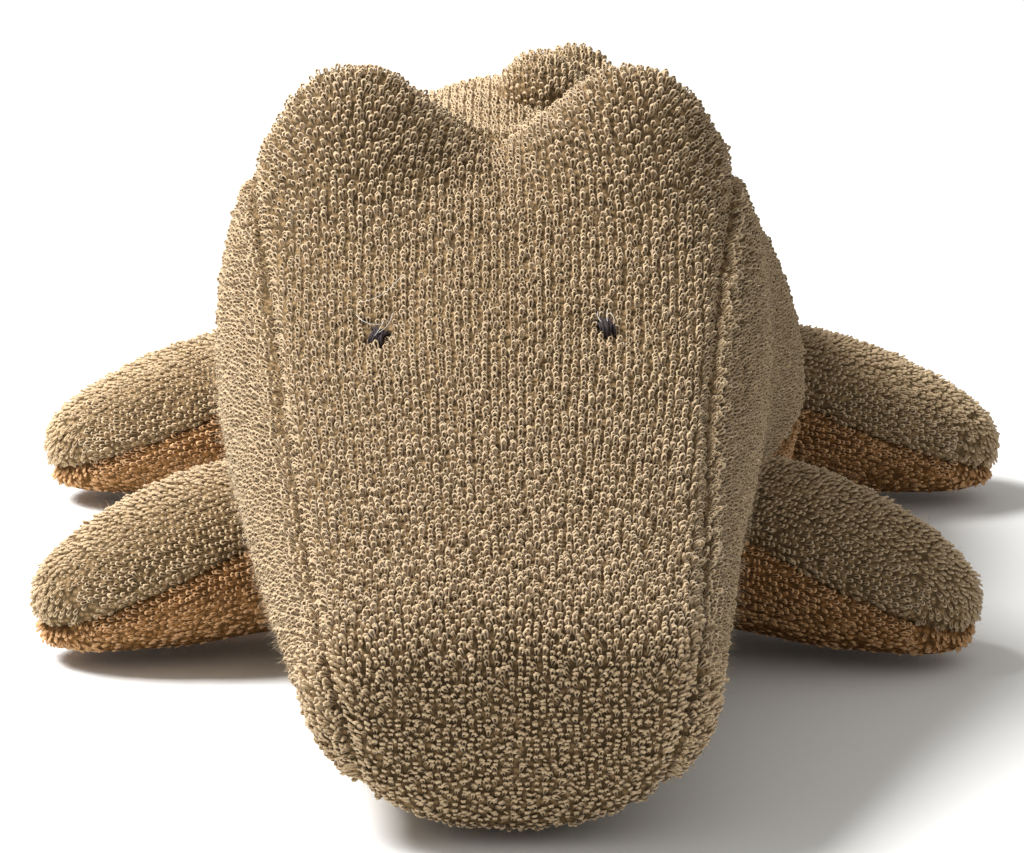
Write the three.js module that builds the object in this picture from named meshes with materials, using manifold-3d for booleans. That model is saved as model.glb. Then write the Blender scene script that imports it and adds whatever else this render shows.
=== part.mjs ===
// A stuffed crocodile of looped terry fabric, lying on its belly with its chin and four legs on the floor.
// Lengths are in millimetres and angles in degrees. +Z is up, the snout points along -Y, and the animal's
// own left side is +X. The origin is on the floor under the middle of the toy.
// Fabric panels are open shells round a filling. The nod of the head, the lift of each leg and the sway of
// the tail turn about rounded roots, so that nothing has to bend.

import * as THREE from 'three';
import { mergeVertices } from 'three/addons/utils/BufferGeometryUtils.js';
import Module from 'manifold-3d';

const wasm = await Module();
wasm.setup();

// Fabric and fits
const fabric = 2.3;
const gap = 0.35;
const socketGap = 0.9;
const floorCut = 0.5;
const overrun = 30;
const blockSize = 500;

// Head
const snoutY = -175;
const browY = -68;
const cheekHalfWidth = 45.5;
const browHeight = 84;
const jawSeamHeight = 3.5;
const browSeamY = -66;
const bumpX = 24;
const bumpRise = 14;
const bumpRadius = 14;
const bumpDepth = 11;

// Face seams: how far from the middle they lie at the brow, at the top of the nose and at the chin
const browSeamHalfWidth = 40;
const noseSeamHalfWidth = 30;
const noseTopY = -168;
const noseTopHeight = 37;
const chinSeamHalfWidth = 20.5;
const chinY = -172;
const chinHeight = 3;

// Stitched eyes
const eyeX = 18.4;
const eyeY = -111.5;
const eyeHalfWidth = 1.5;
const eyeHalfHeight = 1.9;
const eyeRise = 0.9;
const faceSlope = 25;

// Neck: the head nods about a line across the toy, and its hollow back covers the body's rounded front
const neckY = -58;
const neckRadius = 40;
const neckCover = 8;
const neckHeight = browHeight - neckRadius - neckCover;
const napeLean = 4;
const nodUp = 13;
const nodSpare = 1;

// Body
const chestY = -104;
const rumpY = 56;
const bodyHalfWidth = 50;
const backHeight = 86;
const bodySeamHeight = 28;

// Legs: how they root in the body, how far they reach and how they are swept forward
const legRootHalfWidth = 19;
const legRootRadius = 15.5;
const legPivotHeight = 17;
const legSeamRootHeight = 21;
const legSeamTipHeight = 9;
const legLift = 25;
const frontHipInset = 9;
const frontHipY = -67;
const frontReach = 40;
const frontSweep = 17;
const rearHipInset = 7;
const rearHipY = 25;
const rearReach = 41.7;
const rearSweep = 6;
const frontHipX = bodyHalfWidth - frontHipInset;
const rearHipX = bodyHalfWidth - rearHipInset;
const frontLeg = { hipX: frontHipX, hipY: frontHipY, reach: frontReach, sweep: frontSweep };
const rearLeg = { hipX: rearHipX, hipY: rearHipY, reach: rearReach, sweep: rearSweep };
const legPlaces = [
  { name: 'left_front_leg', side: 1, ...frontLeg },
  { name: 'right_front_leg', side: -1, ...frontLeg },
  { name: 'left_rear_leg', side: 1, ...rearLeg },
  { name: 'right_rear_leg', side: -1, ...rearLeg },
];

// Tail
const tailRootY = 62;
const tailTipY = 175;
const tailRootHalfWidth = 24;
const tailRootHeight = 47;
const tailBendShare = 0.5;
const tailRootEndShare = 0.6;
const tailSway = 25;

// Spine humps: half width, half length and how far they stand out of the back
const humpHalfWidth = 8;
const humpHalfLength = 10.5;
const humpRise = 7.5;

// Shape tables. Each row gives shares: along, half width, lowest, widest and highest height.
const headShares = [
  [0, 0.5, 0.08, 0.23, 0.36],
  [0.022, 0.64, 0.025, 0.23, 0.415],
  [0.065, 0.7, 0, 0.25, 0.45],
  [0.16, 0.735, 0, 0.29, 0.505],
  [0.35, 0.805, 0, 0.36, 0.62],
  [0.55, 0.88, 0, 0.44, 0.74],
  [0.75, 0.96, 0, 0.53, 0.86],
  [0.9, 1, 0, 0.59, 0.95],
  [1, 1, 0, 0.61, 1],
  [1.1, 0.98, 0, 0.6, 1],
  [1.25, 0.93, 0, 0.58, 0.95],
];
const bodyShares = [
  [0, 0.76, 0, 0.5, 0.9],
  [0.15, 0.82, 0, 0.5, 0.95],
  [0.3, 0.89, 0, 0.5, 0.98],
  [0.45, 0.96, 0, 0.5, 1],
  [0.6, 1, 0, 0.5, 0.985],
  [0.73, 0.97, 0, 0.5, 0.94],
  [0.84, 0.89, 0, 0.48, 0.875],
  [0.92, 0.76, 0, 0.42, 0.77],
  [1, 0.56, 0.01, 0.34, 0.62],
];
const legShares = [
  [0.3, 0.98, 0, 0.46, 0.93],
  [0.55, 0.9, 0, 0.4, 0.82],
  [0.75, 0.76, 0, 0.35, 0.69],
  [0.9, 0.56, 0.02, 0.31, 0.57],
  [0.97, 0.38, 0.09, 0.3, 0.49],
  [1, 0.24, 0.16, 0.29, 0.42],
];
const tailShares = [
  [0, 1, 0, 0.5, 1],
  [0.25, 0.84, 0, 0.42, 0.84],
  [0.5, 0.64, 0, 0.33, 0.67],
  [0.6, 0.56, 0, 0.3, 0.6],
  [0.75, 0.43, 0, 0.25, 0.5],
  [0.88, 0.32, 0, 0.2, 0.4],
  [0.96, 0.24, 0.03, 0.17, 0.33],
  [1, 0.17, 0.07, 0.165, 0.27],
];

// Humps in a row along the spine: where along Y, how far off the middle in half widths, and their size
const humpShares = [
  { carrier: 'body', along: 0.525, lean: 1.05, size: 1 },
  { carrier: 'body', along: 0.672, lean: 0.5, size: 0.9 },
  { carrier: 'body', along: 0.809, lean: 0.25, size: 0.8 },
  { carrier: 'body', along: 0.916, lean: 0.1, size: 0.7 },
  { carrier: 'tail', along: 0.15, lean: 0, size: 0.62 },
  { carrier: 'tail', along: 0.33, lean: 0, size: 0.54 },
  { carrier: 'tail', along: 0.66, lean: 0, size: 0.45 },
  { carrier: 'tail', along: 0.82, lean: 0, size: 0.37 },
];

// How square the sections are above and below their widest height: 2 is round, more is squarer
const headPowers = { upper: 3.5, lower: 3, sides: 28 };
const bodyPowers = { upper: 2.1, lower: 3, sides: 24 };
const limbPowers = { upper: 2, lower: 2, sides: 14 };
const rootAngles = [-72, -54, -36, -18];
const drumSides = 32;
const eyeRound = { sides: 10, rings: 6 };
const humpRound = { sides: 12, rings: 8 };

// Materials
const khakiTerry = { color: 0x97826a, roughness: 0.95, metalness: 0 };
const orangeTerry = { color: 0x9c5f38, roughness: 0.95, metalness: 0 };
const fillingFibre = { color: 0xe6e2d8, roughness: 1, metalness: 0 };
const eyeThread = { color: 0x2b2630, roughness: 0.7, metalness: 0 };

const radians = THREE.MathUtils.degToRad;

// Solids

function toSolid(geometry) {
  const bare = geometry.clone();
  bare.deleteAttribute('normal');
  bare.deleteAttribute('uv');
  const merged = mergeVertices(bare);
  return new wasm.Manifold(new wasm.Mesh({
    numProp: 3,
    vertProperties: Float32Array.from(merged.attributes.position.array),
    triVerts: Uint32Array.from(merged.index.array),
  }));
}

function toMesh(name, solid, finish) {
  const cut = solid.getMesh();
  const geometry = new THREE.BufferGeometry();
  geometry.setAttribute('position', new THREE.BufferAttribute(Float32Array.from(cut.vertProperties), 3));
  geometry.setIndex(new THREE.BufferAttribute(Uint32Array.from(cut.triVerts), 1));
  geometry.computeVertexNormals();
  const mesh = new THREE.Mesh(geometry, new THREE.MeshStandardMaterial(finish));
  mesh.name = name;
  return mesh;
}

// A big block whose one face lies on a plane, on the side that the plane's normal points to
function blockBeyond(normal, point) {
  const geometry = new THREE.BoxGeometry(blockSize, blockSize, blockSize);
  geometry.translate(0, 0, blockSize / 2);
  const direction = normal.clone().normalize();
  const turn = new THREE.Quaternion().setFromUnitVectors(new THREE.Vector3(0, 0, 1), direction);
  geometry.applyQuaternion(turn);
  geometry.translate(point.x, point.y, point.z);
  return toSolid(geometry);
}

// Splits a solid along a plane, with half the gap left on each side: [beyond the plane, behind it]
function splitAlong(solid, normal, point) {
  const step = normal.clone().normalize().multiplyScalar(gap / 2);
  const beyond = blockBeyond(normal, point.clone().add(step));
  const behind = blockBeyond(normal.clone().negate(), point.clone().sub(step));
  return [solid.intersect(beyond), solid.intersect(behind)];
}

// Forms

// Turns a table of shares into sections with real sizes
function sectionsOf(shares, start, length, halfWidth, height) {
  return shares.map(([along, width, lowest, widest, highest]) => ({
    along: start + along * length,
    halfWidth: width * halfWidth,
    lowest: lowest * height - floorCut,
    widest: widest * height,
    highest: highest * height,
  }));
}

// The rounded root of a limb: half of a body of revolution about the joint that it turns on
function rootSections(reach, halfWidth, pivotHeight, halfHeight) {
  const pole = { along: -reach, widest: pivotHeight, isPoint: true };
  const rings = [...rootAngles, 0].map((angle) => {
    const share = Math.cos(radians(angle));
    return {
      along: reach * Math.sin(radians(angle)),
      halfWidth: halfWidth * share,
      lowest: pivotHeight - halfHeight * share,
      widest: pivotHeight,
      highest: pivotHeight + halfHeight * share,
    };
  });
  return [pole, ...rings];
}

function grown(sections, growth) {
  const first = sections[0].along;
  const last = sections[sections.length - 1].along;
  const centre = (first + last) / 2;
  const stretch = (last - first + 2 * growth) / (last - first);
  return sections.map((section) => ({
    ...section,
    along: centre + (section.along - centre) * stretch,
    halfWidth: section.halfWidth + growth,
    lowest: section.lowest - growth,
    widest: section.widest,
    highest: section.highest + growth,
  }));
}

function sectionPoint(section, powers, turn) {
  const across = Math.cos(turn);
  const up = Math.sin(turn);
  const power = up > 0 ? powers.upper : powers.lower;
  const reach = up > 0 ? section.highest - section.widest : section.widest - section.lowest;
  return new THREE.Vector3(
    section.halfWidth * Math.sign(across) * Math.abs(across) ** (2 / power),
    section.along,
    section.widest + reach * Math.sign(up) * Math.abs(up) ** (2 / power),
  );
}

// A closed form through sections that stand square to Y, with a fan of triangles at each end. The first
// section may be a point. rise adds to the height of the points above the widest height.
function loft(sections, powers, rise = () => 0) {
  const { sides } = powers;
  const places = [];
  const rings = sections.filter(({ isPoint }) => !isPoint);
  for (const section of rings) {
    for (let side = 0; side < sides; side += 1) {
      const point = sectionPoint(section, powers, (2 * Math.PI * side) / sides);
      if (point.z > section.widest) {
        point.z += rise(point.x, point.y);
      }
      places.push(point.x, point.y, point.z);
    }
  }
  const faces = [];
  for (let row = 0; row + 1 < rings.length; row += 1) {
    for (let side = 0; side < sides; side += 1) {
      const next = (side + 1) % sides;
      const a = row * sides + side;
      const b = row * sides + next;
      const c = a + sides;
      const d = b + sides;
      faces.push(a, d, b, a, c, d);
    }
  }
  const lastRow = (rings.length - 1) * sides;
  const frontPole = places.length / 3;
  const ends = [sections[0], sections[sections.length - 1]];
  for (const section of ends) {
    places.push(0, section.along, section.widest);
  }
  for (let side = 0; side < sides; side += 1) {
    const next = (side + 1) % sides;
    faces.push(frontPole, side, next);
    faces.push(frontPole + 1, lastRow + next, lastRow + side);
  }
  const geometry = new THREE.BufferGeometry();
  geometry.setAttribute('position', new THREE.BufferAttribute(Float32Array.from(places), 3));
  geometry.setIndex(faces);
  return toSolid(geometry);
}

// The fabric of a form as a hollow shell, and the filling inside it
function stuffed(sections, powers, rise) {
  const outside = loft(sections, powers, rise);
  const inside = loft(grown(sections, -fabric), powers, rise);
  return {
    shell: outside.subtract(inside),
    filling: loft(grown(sections, -fabric - gap), powers, rise),
  };
}

function sectionAt(sections, along) {
  const after = Math.max(1, sections.findIndex((section) => section.along >= along));
  const low = sections[after - 1];
  const high = sections[after];
  const share = (along - low.along) / (high.along - low.along);
  const mixed = { along };
  for (const size of ['halfWidth', 'lowest', 'widest', 'highest']) {
    mixed[size] = THREE.MathUtils.lerp(low[size], high[size], share);
  }
  return mixed;
}

function topHeight(sections, powers, x, y) {
  const section = sectionAt(sections, y);
  const share = (1 - Math.abs(x / section.halfWidth) ** powers.upper) ** (1 / powers.upper);
  return section.widest + (section.highest - section.widest) * share;
}

const up = new THREE.Vector3(0, 0, 1);
const back = new THREE.Vector3(0, 1, 0);
const origin = new THREE.Vector3();
const belowFloor = blockBeyond(up.clone().negate(), origin);

// Neck: the body ends in a round front that the hollow back of the head turns on

function neckDrum(radius) {
  const geometry = new THREE.CylinderGeometry(radius, radius, 2 * (cheekHalfWidth + overrun), drumSides);
  geometry.rotateZ(Math.PI / 2);
  geometry.translate(0, neckY, neckHeight);
  return toSolid(geometry);
}

const neckPoint = new THREE.Vector3(0, neckY, neckHeight);

function neckPlaneNormal(lean) {
  return new THREE.Vector3(0, Math.cos(radians(lean)), -Math.sin(radians(lean)));
}

const behindNape = blockBeyond(neckPlaneNormal(napeLean), neckPoint);
const shoulderLean = napeLean + nodUp + nodSpare;
const beforeShoulder = blockBeyond(neckPlaneNormal(shoulderLean).negate(), neckPoint);

// Head

const headSections = sectionsOf(headShares, snoutY, browY - snoutY, cheekHalfWidth, browHeight);

function browRise(x, y) {
  const across = (Math.abs(x) - bumpX) / bumpRadius;
  const along = (y - browY) / bumpDepth;
  return bumpRise * Math.exp(-across * across - along * along);
}

function headCut(solid) {
  return solid.subtract(neckDrum(neckRadius + gap)).subtract(behindNape).subtract(belowFloor);
}

function faceSeamNormal(side) {
  const seam = new THREE.Plane().setFromCoplanarPoints(
    new THREE.Vector3(side * browSeamHalfWidth, browY, browHeight),
    new THREE.Vector3(side * noseSeamHalfWidth, noseTopY, noseTopHeight),
    new THREE.Vector3(side * chinSeamHalfWidth, chinY, chinHeight),
  );
  const { normal } = seam;
  return normal.multiplyScalar(Math.sign(normal.x) * side);
}

function faceSeamPoint(side) {
  return new THREE.Vector3(side * noseSeamHalfWidth, noseTopY, noseTopHeight);
}

function makeHead() {
  const head = stuffed(headSections, headPowers, browRise);
  const jawPoint = new THREE.Vector3(0, 0, jawSeamHeight);
  const [aboveJaw, jaw] = splitAlong(headCut(head.shell), up, jawPoint);
  const [leftCheek, rest] = splitAlong(aboveJaw, faceSeamNormal(1), faceSeamPoint(1));
  const [rightCheek, strip] = splitAlong(rest, faceSeamNormal(-1), faceSeamPoint(-1));
  const [nape, face] = splitAlong(strip, back, new THREE.Vector3(0, browSeamY, 0));
  const group = new THREE.Group();
  group.add(
    toMesh('face_panel', face, khakiTerry),
    toMesh('left_cheek_panel', leftCheek, khakiTerry),
    toMesh('right_cheek_panel', rightCheek, khakiTerry),
    toMesh('nape_panel', nape, khakiTerry),
    toMesh('jaw_panel', jaw, orangeTerry),
    toMesh('head_filling', headCut(head.filling), fillingFibre),
    makeEye('left_eye', 1),
    makeEye('right_eye', -1),
  );
  return group;
}

function makeEye(name, side) {
  const geometry = new THREE.SphereGeometry(1, eyeRound.sides, eyeRound.rings);
  geometry.scale(eyeHalfWidth, eyeHalfHeight, eyeRise);
  geometry.rotateX(radians(faceSlope));
  geometry.translate(side * eyeX, eyeY, topHeight(headSections, headPowers, eyeX, eyeY));
  const seat = loft(grown(headSections, gap), headPowers, browRise);
  return toMesh(name, toSolid(geometry).subtract(seat), eyeThread);
}

// Legs, in their own frame: the joint is the local X axis at the pivot height, and the leg reaches along +Y

const legRootTop = legPivotHeight + legRootRadius;

function legSections(reach) {
  const root = rootSections(legRootRadius, legRootHalfWidth, legPivotHeight, legRootRadius);
  return [...root, ...sectionsOf(legShares, 0, reach, legRootHalfWidth, legRootTop)];
}

function makeLeg({ name, side, hipX, hipY, reach, sweep }) {
  const leg = stuffed(legSections(reach), limbPowers);
  const seamNormal = new THREE.Vector3(0, legSeamRootHeight - legSeamTipHeight, reach);
  const seamPoint = new THREE.Vector3(0, 0, legSeamRootHeight);
  const [upper, under] = splitAlong(leg.shell.subtract(belowFloor), seamNormal, seamPoint);
  const group = new THREE.Group();
  group.add(
    toMesh(`${name}_upper`, upper, khakiTerry),
    toMesh(`${name}_under`, under, orangeTerry),
    toMesh(`${name}_filling`, leg.filling.subtract(belowFloor), fillingFibre),
  );
  group.position.set(side * hipX, hipY, 0);
  group.rotation.z = -side * (Math.PI / 2 + radians(sweep));
  return group;
}

// What a leg needs clear in the body: its rounded root, and the sector that it lifts through
function legSocket({ side, hipX, hipY, reach, sweep }) {
  const root = loft(grown(legSections(reach), socketGap), limbPowers);
  const lift = radians(legLift);
  const clear = legRootRadius + socketGap;
  const lipY = -clear * Math.sin(lift);
  const lipZ = legPivotHeight + clear * Math.cos(lift);
  const farY = bodyHalfWidth;
  const shape = new THREE.Shape();
  shape.moveTo(lipY, lipZ);
  shape.lineTo(lipY, -overrun);
  shape.lineTo(farY, -overrun);
  shape.lineTo(farY, lipZ + (farY - lipY) * Math.tan(lift));
  shape.closePath();
  const width = 2 * (legRootHalfWidth + socketGap);
  const geometry = new THREE.ExtrudeGeometry(shape, { depth: width, bevelEnabled: false });
  geometry.translate(0, 0, -width / 2);
  geometry.applyMatrix4(new THREE.Matrix4().makeBasis(back, up, new THREE.Vector3(1, 0, 0)));
  const place = new THREE.Matrix4().makeRotationZ(-side * (Math.PI / 2 + radians(sweep)));
  place.setPosition(side * hipX, hipY, 0);
  return root.add(toSolid(geometry)).transform(place.elements);
}

// Tail: a root stretch and an end stretch, each with a rounded root

const tailLength = tailTipY - tailRootY;
const tailSections = sectionsOf(tailShares, tailRootY, tailLength, tailRootHalfWidth, tailRootHeight);
const tailBendY = tailRootY + tailBendShare * tailLength;

// Sections of a stretch of the tail that starts at a joint and runs to its last section
function tailStretch(startY, lastShare) {
  const start = sectionAt(tailSections, startY + gap);
  const pivotHeight = (start.highest + start.lowest) / 2;
  const halfHeight = (start.highest - start.lowest) / 2;
  const root = rootSections(start.halfWidth, start.halfWidth, pivotHeight, halfHeight);
  for (const section of root) {
    section.along += startY;
  }
  const lastY = tailRootY + lastShare * tailLength;
  const rest = tailSections.filter(({ along }) => along > startY + gap && along <= lastY + gap);
  return [...root, ...rest];
}

const tailRootSections = tailStretch(tailRootY, tailRootEndShare);
const tailEndSections = tailStretch(tailBendY, 1);

// The plane where a piece ends, so that what turns in its socket stays clear
function lipPlaneY(jointY, radius) {
  return jointY - radius * Math.sin(radians(tailSway));
}

function makeTailStretch(name, sections, cut) {
  const tail = stuffed(sections, limbPowers);
  const seamDrop = tailSections[0].widest - tailSections[tailSections.length - 1].widest;
  const seamNormal = new THREE.Vector3(0, seamDrop, tailLength);
  const seamPoint = new THREE.Vector3(0, tailRootY, tailSections[0].widest);
  const [upper, under] = splitAlong(cut(tail.shell), seamNormal, seamPoint);
  return [
    toMesh(`${name}_upper`, upper, khakiTerry),
    toMesh(`${name}_under`, under, orangeTerry),
    toMesh(`${name}_filling`, cut(tail.filling), fillingFibre),
  ];
}

function cutTailRoot(solid) {
  const bendRadius = sectionAt(tailSections, tailBendY + gap).halfWidth;
  const lip = new THREE.Vector3(0, lipPlaneY(tailBendY, bendRadius), 0);
  const socket = loft(grown(tailEndSections, socketGap), limbPowers);
  return solid.subtract(blockBeyond(back, lip)).subtract(socket).subtract(belowFloor);
}

function cutTailEnd(solid) {
  return solid.subtract(belowFloor);
}

// Body

const bodySections = sectionsOf(bodyShares, chestY, rumpY - chestY, bodyHalfWidth, backHeight);

function bodyCut(solid) {
  const lip = new THREE.Vector3(0, lipPlaneY(tailRootY, tailRootHalfWidth), 0);
  let cut = solid.subtract(beforeShoulder.subtract(neckDrum(neckRadius)));
  cut = cut.subtract(blockBeyond(back, lip));
  cut = cut.subtract(loft(grown(tailRootSections, socketGap), limbPowers));
  for (const place of legPlaces) {
    cut = cut.subtract(legSocket(place));
  }
  return cut.subtract(belowFloor);
}

function makeBody() {
  const body = stuffed(bodySections, bodyPowers);
  const seamPoint = new THREE.Vector3(0, 0, bodySeamHeight);
  const [backPanel, bellyPanel] = splitAlong(bodyCut(body.shell), up, seamPoint);
  return [
    toMesh('back_panel', backPanel, khakiTerry),
    toMesh('belly_panel', bellyPanel, orangeTerry),
    toMesh('body_filling', bodyCut(body.filling), fillingFibre),
  ];
}

// Spine humps, each a rounded pad cut to sit on what carries it

function makeHump(number, { carrier, along, lean, size }) {
  const onBody = carrier === 'body';
  const sections = onBody ? bodySections : tailSections;
  const powers = onBody ? bodyPowers : limbPowers;
  const y = onBody ? chestY + along * (rumpY - chestY) : tailRootY + along * tailLength;
  const x = lean * humpHalfWidth;
  const geometry = new THREE.SphereGeometry(1, humpRound.sides, humpRound.rings);
  geometry.rotateX(Math.PI / 2);
  geometry.scale(size * humpHalfWidth, size * humpHalfLength, size * humpRise);
  geometry.translate(x, y, topHeight(sections, powers, x, y));
  const seat = loft(grown(sections, gap), powers);
  return toMesh(`spine_hump_${number}`, toSolid(geometry).subtract(seat), khakiTerry);
}

// The whole toy

const toy = new THREE.Group();
toy.add(makeHead());
toy.add(...makeBody());
for (const place of legPlaces) {
  toy.add(makeLeg(place));
}
toy.add(...makeTailStretch('tail_root', tailRootSections, cutTailRoot));
toy.add(...makeTailStretch('tail_end', tailEndSections, cutTailEnd));
humpShares.forEach((hump, index) => toy.add(makeHump(index + 1, hump)));

export default toy;
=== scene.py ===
import math
from collections import defaultdict

import bmesh
import bpy
import numpy as np
from bpy.props import FloatProperty, FloatVectorProperty, IntProperty, PointerProperty
from mathutils import Matrix, Vector
from mathutils.bvhtree import BVHTree


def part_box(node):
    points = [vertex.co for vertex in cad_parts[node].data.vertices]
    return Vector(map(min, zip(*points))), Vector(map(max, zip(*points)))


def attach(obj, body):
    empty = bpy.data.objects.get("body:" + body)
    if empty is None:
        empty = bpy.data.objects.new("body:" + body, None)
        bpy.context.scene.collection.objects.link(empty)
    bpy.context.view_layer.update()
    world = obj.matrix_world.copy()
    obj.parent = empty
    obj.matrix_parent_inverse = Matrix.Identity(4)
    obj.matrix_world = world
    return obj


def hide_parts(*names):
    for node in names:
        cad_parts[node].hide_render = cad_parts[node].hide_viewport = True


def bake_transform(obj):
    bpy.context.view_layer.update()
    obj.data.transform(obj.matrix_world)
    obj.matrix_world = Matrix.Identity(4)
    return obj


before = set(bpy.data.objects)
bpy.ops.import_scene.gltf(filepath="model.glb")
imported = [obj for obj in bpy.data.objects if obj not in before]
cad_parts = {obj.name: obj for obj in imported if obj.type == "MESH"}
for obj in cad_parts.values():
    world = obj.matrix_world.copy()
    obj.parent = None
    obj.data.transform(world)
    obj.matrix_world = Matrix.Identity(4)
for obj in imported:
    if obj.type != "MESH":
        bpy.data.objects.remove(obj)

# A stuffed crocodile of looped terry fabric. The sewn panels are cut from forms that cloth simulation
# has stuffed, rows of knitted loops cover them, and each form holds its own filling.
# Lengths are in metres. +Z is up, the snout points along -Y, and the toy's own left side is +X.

bl_info = {
    "name": "Terry Crocodile",
    "version": (1, 0, 0),
    "blender": (4, 5, 0),
    "location": "3D View > Sidebar > Crocodile",
    "description": "A stuffed crocodile of looped terry fabric, with limbs that bend at their seams",
    "category": "Add Mesh",
}

MM = 0.001
SEED = 41
UP = Vector((0, 0, 1))
LEFT = Vector((1, 0, 0))
BACK = Vector((0, 1, 0))

# Keeps a division by a length from failing where the length is nothing
TINY = 1e-9

# Rays that look down for the top of the toy start this high
RAY_HEIGHT = 0.2

# Head
SNOUT_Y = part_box("face_panel")[0][1]
BROW_Y = -68 * MM
CHEEK_HALF_WIDTH = 45.5 * MM
BROW_HEIGHT = 84 * MM
JAW_SEAM_HEIGHT = 2 * MM
BROW_SEAM_Y = -66 * MM
BUMP_X = 24 * MM
BUMP_RISE = 17 * MM
BUMP_RADIUS = 15.5 * MM
BUMP_POWER = 3
BUMP_DEPTH = 11 * MM

# Face seams: where they pass the brow, the top of the nose and the chin, on the toy's left side
SEAM_AT_BROW = Vector((40, -68, 84)) * MM
SEAM_AT_NOSE = Vector((30, -168, 37)) * MM
SEAM_AT_CHIN = Vector((20.5, -172, 3)) * MM

# Stitched eyes
EYES = {"left_eye": Vector((14.6, -107)) * MM, "right_eye": Vector((-20.8, -108.5)) * MM}
EYE_HALF_WIDTH = 1.15 * MM
EYE_HALF_HEIGHT = 1.6 * MM
EYE_STRANDS = 13
EYE_LIFT = 1.5 * MM
EYE_ROUNDING = 0.3
STRAND_RADIUS = 0.23 * MM
STRAND_SIDES = 8
STRAND_STEPS = 10
STRAND_LENGTH_SPREAD = 0.12
STRAND_LIFT_SPREAD = 0.1
STRAND_TURN_SPREAD = 0.35
STRAND_SHIFT_SPREAD = 0.2
LINT_RADIUS = 0.04 * MM
LINT_SIDES = 5
LINT_STEPS = 8
LINT_HEIGHT = 1.75 * MM
EYE_CLEARING = 1.9 * MM
EYE_DIMPLE = 1.4 * MM
EYE_DIMPLE_RADIUS = 5 * MM

# Pale lint that clings round each eye: start, bend and end of each fibre, across and up the face in mm
LINT = {
    "left_eye": (
        ((-0.9, 0.2), (-1.3, 1.5), (-0.5, 2.8)),
        ((0.1, 0), (0.4, 1.8), (1.2, 3)),
        ((0.8, -0.6), (1.7, 0.6), (1.4, 2.2)),
    ),
    "right_eye": (
        ((-4.6, 6.3), (-0.6, 7), (1.2, 13.4)),
        ((-4.2, 3.4), (-2.2, 0.8), (0.4, 1.6)),
        ((0.3, -0.4), (1.8, 1.2), (1.5, 4.2)),
        ((-0.2, -1.2), (0.3, 0.4), (0.5, 2.4)),
    ),
}

# Neck: the fabric turns from body to head between these places
NECK_SEAM_Y = -50 * MM

# Body
CHEST_Y = -104 * MM
RUMP_Y = 56 * MM
BODY_HALF_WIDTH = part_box("back_panel")[1][0]
BACK_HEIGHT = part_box("back_panel")[1][2]
BODY_SEAM_HEIGHT = 23.5 * MM

# Legs
LEG_ROOT_HALF_WIDTH = 19 * MM
LEG_ROOT_TOP = 32.5 * MM
LEG_ROOT_DEPTH = 9 * MM
LEG_SEAM_ROOT_HEIGHT = 24 * MM
LEG_SEAM_TIP_HEIGHT = 5 * MM
LEG_REACH_HEIGHT = 35 * MM
FRONT_LEG = {"hip_x": 41 * MM, "hip_y": -67 * MM, "reach": 40 * MM, "sweep": math.radians(17)}
REAR_LEG = {"hip_x": 43 * MM, "hip_y": 25 * MM, "reach": 44 * MM, "sweep": math.radians(6)}
LEGS = {
    "left_front_leg": (1, {**FRONT_LEG, "shift": -0.7 * MM, "sweep": math.radians(21)}),
    "right_front_leg": (-1, {**FRONT_LEG, "shift": -0.7 * MM}),
    "left_rear_leg": (1, {**REAR_LEG, "shift": 1.8 * MM}),
    "right_rear_leg": (-1, {**REAR_LEG, "shift": 1.8 * MM}),
}

# Tail
TAIL_ROOT_Y = 62 * MM
TAIL_TIP_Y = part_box("tail_end_upper")[1][1]
TAIL_ROOT_HALF_WIDTH = 24 * MM
TAIL_ROOT_HEIGHT = 47 * MM
TAIL_SEAM_ROOT_HEIGHT = 23.5 * MM
TAIL_SEAM_TIP_HEIGHT = 7.8 * MM
TAIL_JOIN_Y = 56 * MM
TAIL_SPLIT_Y = 103 * MM

# Spine humps
HUMP_HALF_WIDTH = 8 * MM
HUMP_HALF_LENGTH = 10.5 * MM
HUMP_RISE = 7.5 * MM
HUMP_INSET_SHARE = 0.5
HUMP_SEGMENTS = 24
HUMP_RINGS = 16

# Shape tables. Each row gives shares: along, half width, lowest, widest and highest height.
HEAD_SHARES = (
    (0, 0.5, 0.05, 0.23, 0.36),
    (0.022, 0.64, 0.01, 0.23, 0.415),
    (0.065, 0.7, 0, 0.25, 0.45),
    (0.16, 0.735, 0, 0.29, 0.505),
    (0.35, 0.805, 0, 0.36, 0.62),
    (0.55, 0.88, 0, 0.44, 0.74),
    (0.75, 0.96, 0, 0.53, 0.86),
    (0.9, 1, 0, 0.59, 0.95),
    (1, 1, 0, 0.61, 1),
)
BODY_SHARES = (
    (0.33, 0.9, 0, 0.42, 0.985),
    (0.45, 0.96, 0, 0.37, 0.99),
    (0.6, 1, 0, 0.35, 0.975),
    (0.73, 0.97, 0, 0.36, 0.93),
    (0.84, 0.89, 0, 0.38, 0.865),
    (0.92, 0.76, 0, 0.38, 0.76),
)
TAIL_SHARES = (
    (0, 1.05, 0, 0.53, 1.06),
    (0.25, 0.84, 0, 0.42, 0.84),
    (0.5, 0.64, 0, 0.33, 0.67),
    (0.6, 0.56, 0, 0.3, 0.6),
    (0.75, 0.43, 0, 0.25, 0.5),
    (0.88, 0.32, 0, 0.2, 0.4),
    (0.96, 0.24, 0.03, 0.17, 0.33),
    (1, 0.17, 0.07, 0.165, 0.27),
)
LEG_SHARES = (
    (0, 1, 0.04, 0.52, 1),
    (0.3, 0.98, 0, 0.46, 0.93),
    (0.55, 0.9, 0, 0.4, 0.82),
    (0.75, 0.76, 0, 0.35, 0.69),
    (0.9, 0.56, 0.02, 0.31, 0.57),
    (0.97, 0.38, 0.09, 0.3, 0.49),
    (1, 0.24, 0.16, 0.29, 0.42),
)

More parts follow.
